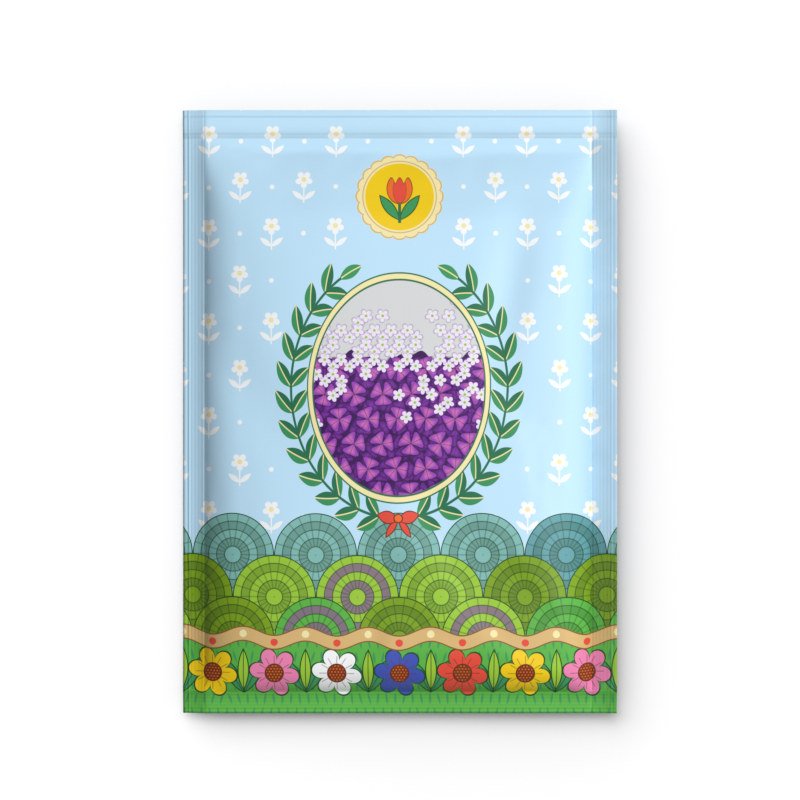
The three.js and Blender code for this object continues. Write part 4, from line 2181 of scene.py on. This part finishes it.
@dataclass
class LooseBulbs:
    """The scaly bulbs that lie loose on the back film."""

    bulbs: tuple[Bulb, ...] = (
        Bulb(34, 10.5, -18, -42, 25),
        Bulb(29, 9.6, 12, -51, -15),
        Bulb(36, 11, 21, -22, 70),
        Bulb(26, 9, -22, -14, 130),
        Bulb(31, 10, 2, 7, 190),
    )
    growth: BulbGrowth = BulbGrowth()
    clearance: float = 0.03
    drop_height: float = 6.0
    scale_pitch: float = 0.42
    scale_lift: float = 0.16
    crease: float = 70.0

    def rise_onto(self, film: BVHTree, mesh: Mesh) -> float:
        """Finds how far a bulb has to rise to lie on the film below it.

        Args:
            film: The back film's faces.
            mesh: The bulb.

        Returns:
            The rise in metres.
        """
        lowest = min(vertex.co.z for vertex in mesh.vertices)
        start = self.drop_height * MM
        rises = []
        for vertex in mesh.vertices:
            if vertex.co.z < lowest + start:
                hit = film.ray_cast((vertex.co.x, vertex.co.y, start), (0, 0, -1))[0]
                rises.append(hit.z - vertex.co.z)
        return max(rises) + self.clearance * MM

    def build(self, film: Object, finish: Material) -> None:
        """Grows each bulb and lays it down where its solid lies.

        Args:
            film: The back film.
            finish: The material of the scales.
        """
        tree = self.growth.tree()
        below = BVHTree.FromObject(film, bpy.context.evaluated_depsgraph_get())
        for number, bulb in enumerate(self.bulbs, start=1):
            name = f"scaly_bulb_{number}"
            piece = added(bpy.data.meshes.new(name), name)
            mesh = grown(piece, tree, {
                "Length": bulb.length * MM,
                "Girth": bulb.girth * MM,
                "Scale Count": round(bulb.length / self.scale_pitch),
                "Scale Lift": self.scale_lift,
                "Seed": number,
                "Scales": finish,
            })
            mesh.transform(Matrix.Translation((0, 0, -bulb.length * MM / 2)))
            laid = Matrix.Rotation(math.pi / 2, 4, "Y")
            mesh.transform(Matrix.Rotation(math.radians(bulb.turn), 4, "Z") @ laid)
            mesh.transform(Matrix.Translation((bulb.x * MM, bulb.y * MM, 0)))
            mesh.transform(Matrix.Translation((0, 0, self.rise_onto(below, mesh))))
            mesh.shade_smooth()
            mesh.set_sharp_from_angle(angle=math.radians(self.crease))
            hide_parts(f"bulb_{number}")
            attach(piece, "root")
            report(piece)


# ----------------------------------------
# The stage


def hung(light: Light, direction: Direction, distance: float = 1.0) -> Object:
    """Hangs a light over the packet and points it there.

    Args:
        light: The light.
        direction: Where it hangs, from the packet.
        distance: How far away, in metres.

    Returns:
        The lamp.
    """
    lamp = bpy.data.objects.new(light.name, light)
    towards = Vector(direction).normalized()
    lamp.location = towards * distance
    lamp.rotation_euler = towards.to_track_quat("Z", "Y").to_euler()
    bpy.context.scene.collection.objects.link(lamp)
    return lamp


@dataclass(frozen=True)
class SoftBox:
    """A square soft light."""

    name: str
    direction: Direction
    distance: float
    size: float
    power: float

    def lit(self) -> Object:
        """Hangs the light.

        Returns:
            The lamp.
        """
        light = bpy.data.lights.new(self.name, "AREA")
        light.size = self.size
        light.energy = self.power
        return hung(light, self.direction, self.distance)


@dataclass(frozen=True)
class EvenLight:
    """A far light that is as strong all over the floor, whose spread softens its shadows."""

    name: str
    direction: Direction
    spread: float
    strength: float

    def lit(self) -> Object:
        """Hangs the light.

        Returns:
            The lamp.
        """
        light = bpy.data.lights.new(self.name, "SUN")
        light.angle = math.radians(self.spread)
        light.energy = self.strength
        return hung(light, self.direction)


@dataclass
class Studio:
    """The floor, the lights and the camera, in metres.

    The floor bounces less light on the packet than it shows, and lies a hair below it.
    """

    floor_size: float = 6.0
    floor_drop: float = 0.00002
    floor_colour: Rgba = (0.93, 0.93, 0.935, 1)
    floor_bounce: Rgba = (0.3, 0.3, 0.3, 1)
    floor_roughness: float = 0.85
    floor_gloss: float = 0.15
    packet_lights: tuple[SoftBox, ...] = (
        SoftBox("packet_key", (0.47, 0.03, 0.883), distance=1.8, size=0.7, power=35.0),
    )
    floor_lights: tuple[EvenLight, ...] = (
        EvenLight("floor_side", (-0.5, 0.7, 0.7), spread=60.0, strength=1.95),
        EvenLight("floor_top", (0, 0.3, 1.0), spread=40.0, strength=1.12),
        EvenLight("floor_dome", (0, 0, 1), spread=170.0, strength=1.02),
    )
    fill: float = 0.04
    backdrop: float = 1.0
    lens: float = 120.0
    sensor: float = 36.0
    camera_place: Direction = (0.0001, 0.00358, 0.8054)

    def build(self) -> None:
        """Sets the whole stage."""
        self.light(self.laid_floor())
        self.aim_camera()

    def laid_floor(self) -> Object:
        """Lays a plain pale floor.

        Returns:
            The floor.
        """
        floor = square_sheet("studio_floor", self.floor_size / 2)
        floor.location.z = -self.floor_drop
        material, shader = new_material("pale_floor")
        tree = material.node_tree
        bounced = Wire(add_node(tree, "ShaderNodeLightPath").outputs["Is Diffuse Ray"])
        pale = Print(tree, self.floor_colour).lay(bounced, self.floor_bounce)
        plug(pale.colour, shader.inputs["Base Color"])
        shader.inputs["Roughness"].default_value = self.floor_roughness
        shader.inputs["Specular IOR Level"].default_value = self.floor_gloss
        floor.data.materials.append(material)
        return floor

    def light(self, floor: Object) -> None:
        """Hangs a soft key for the packet, and the floor's own lights, in an even pale air.

        Args:
            floor: The floor, which the key leaves out.
        """
        for lights, state in ((self.packet_lights, "EXCLUDE"), (self.floor_lights, "INCLUDE")):
            lit = bpy.data.collections.new(f"floor_{state.lower()}d")
            lit.objects.link(floor)
            lit.collection_objects[0].light_linking.link_state = state
            for light in lights:
                light.lit().light_linking.receiver_collection = lit
        world = bpy.data.worlds.new("studio_air")
        world.use_nodes = True
        air = world.node_tree.nodes["Background"]
        air.inputs["Color"].default_value = (1, 1, 1, 1)
        seen = Wire(add_node(world.node_tree, "ShaderNodeLightPath").outputs["Is Camera Ray"])
        plug(seen * (self.backdrop - self.fill) + self.fill, air.inputs["Strength"])
        bpy.context.scene.world = world
        bpy.context.scene.view_settings.view_transform = "Standard"

    def aim_camera(self) -> None:
        """Puts the camera over the packet, looking straight down with the head seal at the top."""
        lens = bpy.data.cameras.new("camera")
        lens.lens = self.lens
        lens.sensor_width = self.sensor
        camera = bpy.data.objects.new("camera", lens)
        camera.location = self.camera_place
        bpy.context.scene.collection.objects.link(camera)
        bpy.context.scene.camera = camera


def main() -> None:
    """Builds the packet and its stage, and reports each piece."""
    logging.basicConfig(level=logging.INFO, format="%(message)s")
    pouch = Pouch()
    design = PrintDesign(pouch.width, pouch.length)
    wear = LaminateWear().group()
    # Painted shade over the seals, partly the bars' real dulling.
    pressed = PressMarks().group(pouch)
    motifs = design.groups()
    front, back = (
        LaminateFinish().material(name, wear, pressed, lay, motifs)
        for name, lay in (("front_laminate", design.front), ("back_laminate", design.back))
    )
    inside = FoilFinish().material(wear)
    cut = CutEdgeFinish().material()
    press = pouch.rib_press()
    films = {}
    for side, blown, printed in zip(Side, pouch.blown(), (front, back)):
        finishes = {"Printed": printed, "Inside": inside, "Cut Edge": cut}
        films[side] = pouch.build(side, blown, press, finishes)
    LooseBulbs().build(films[Side.BACK], ScaleFinish().material())
    Studio().build()


if __name__ == "__main__":
    main()
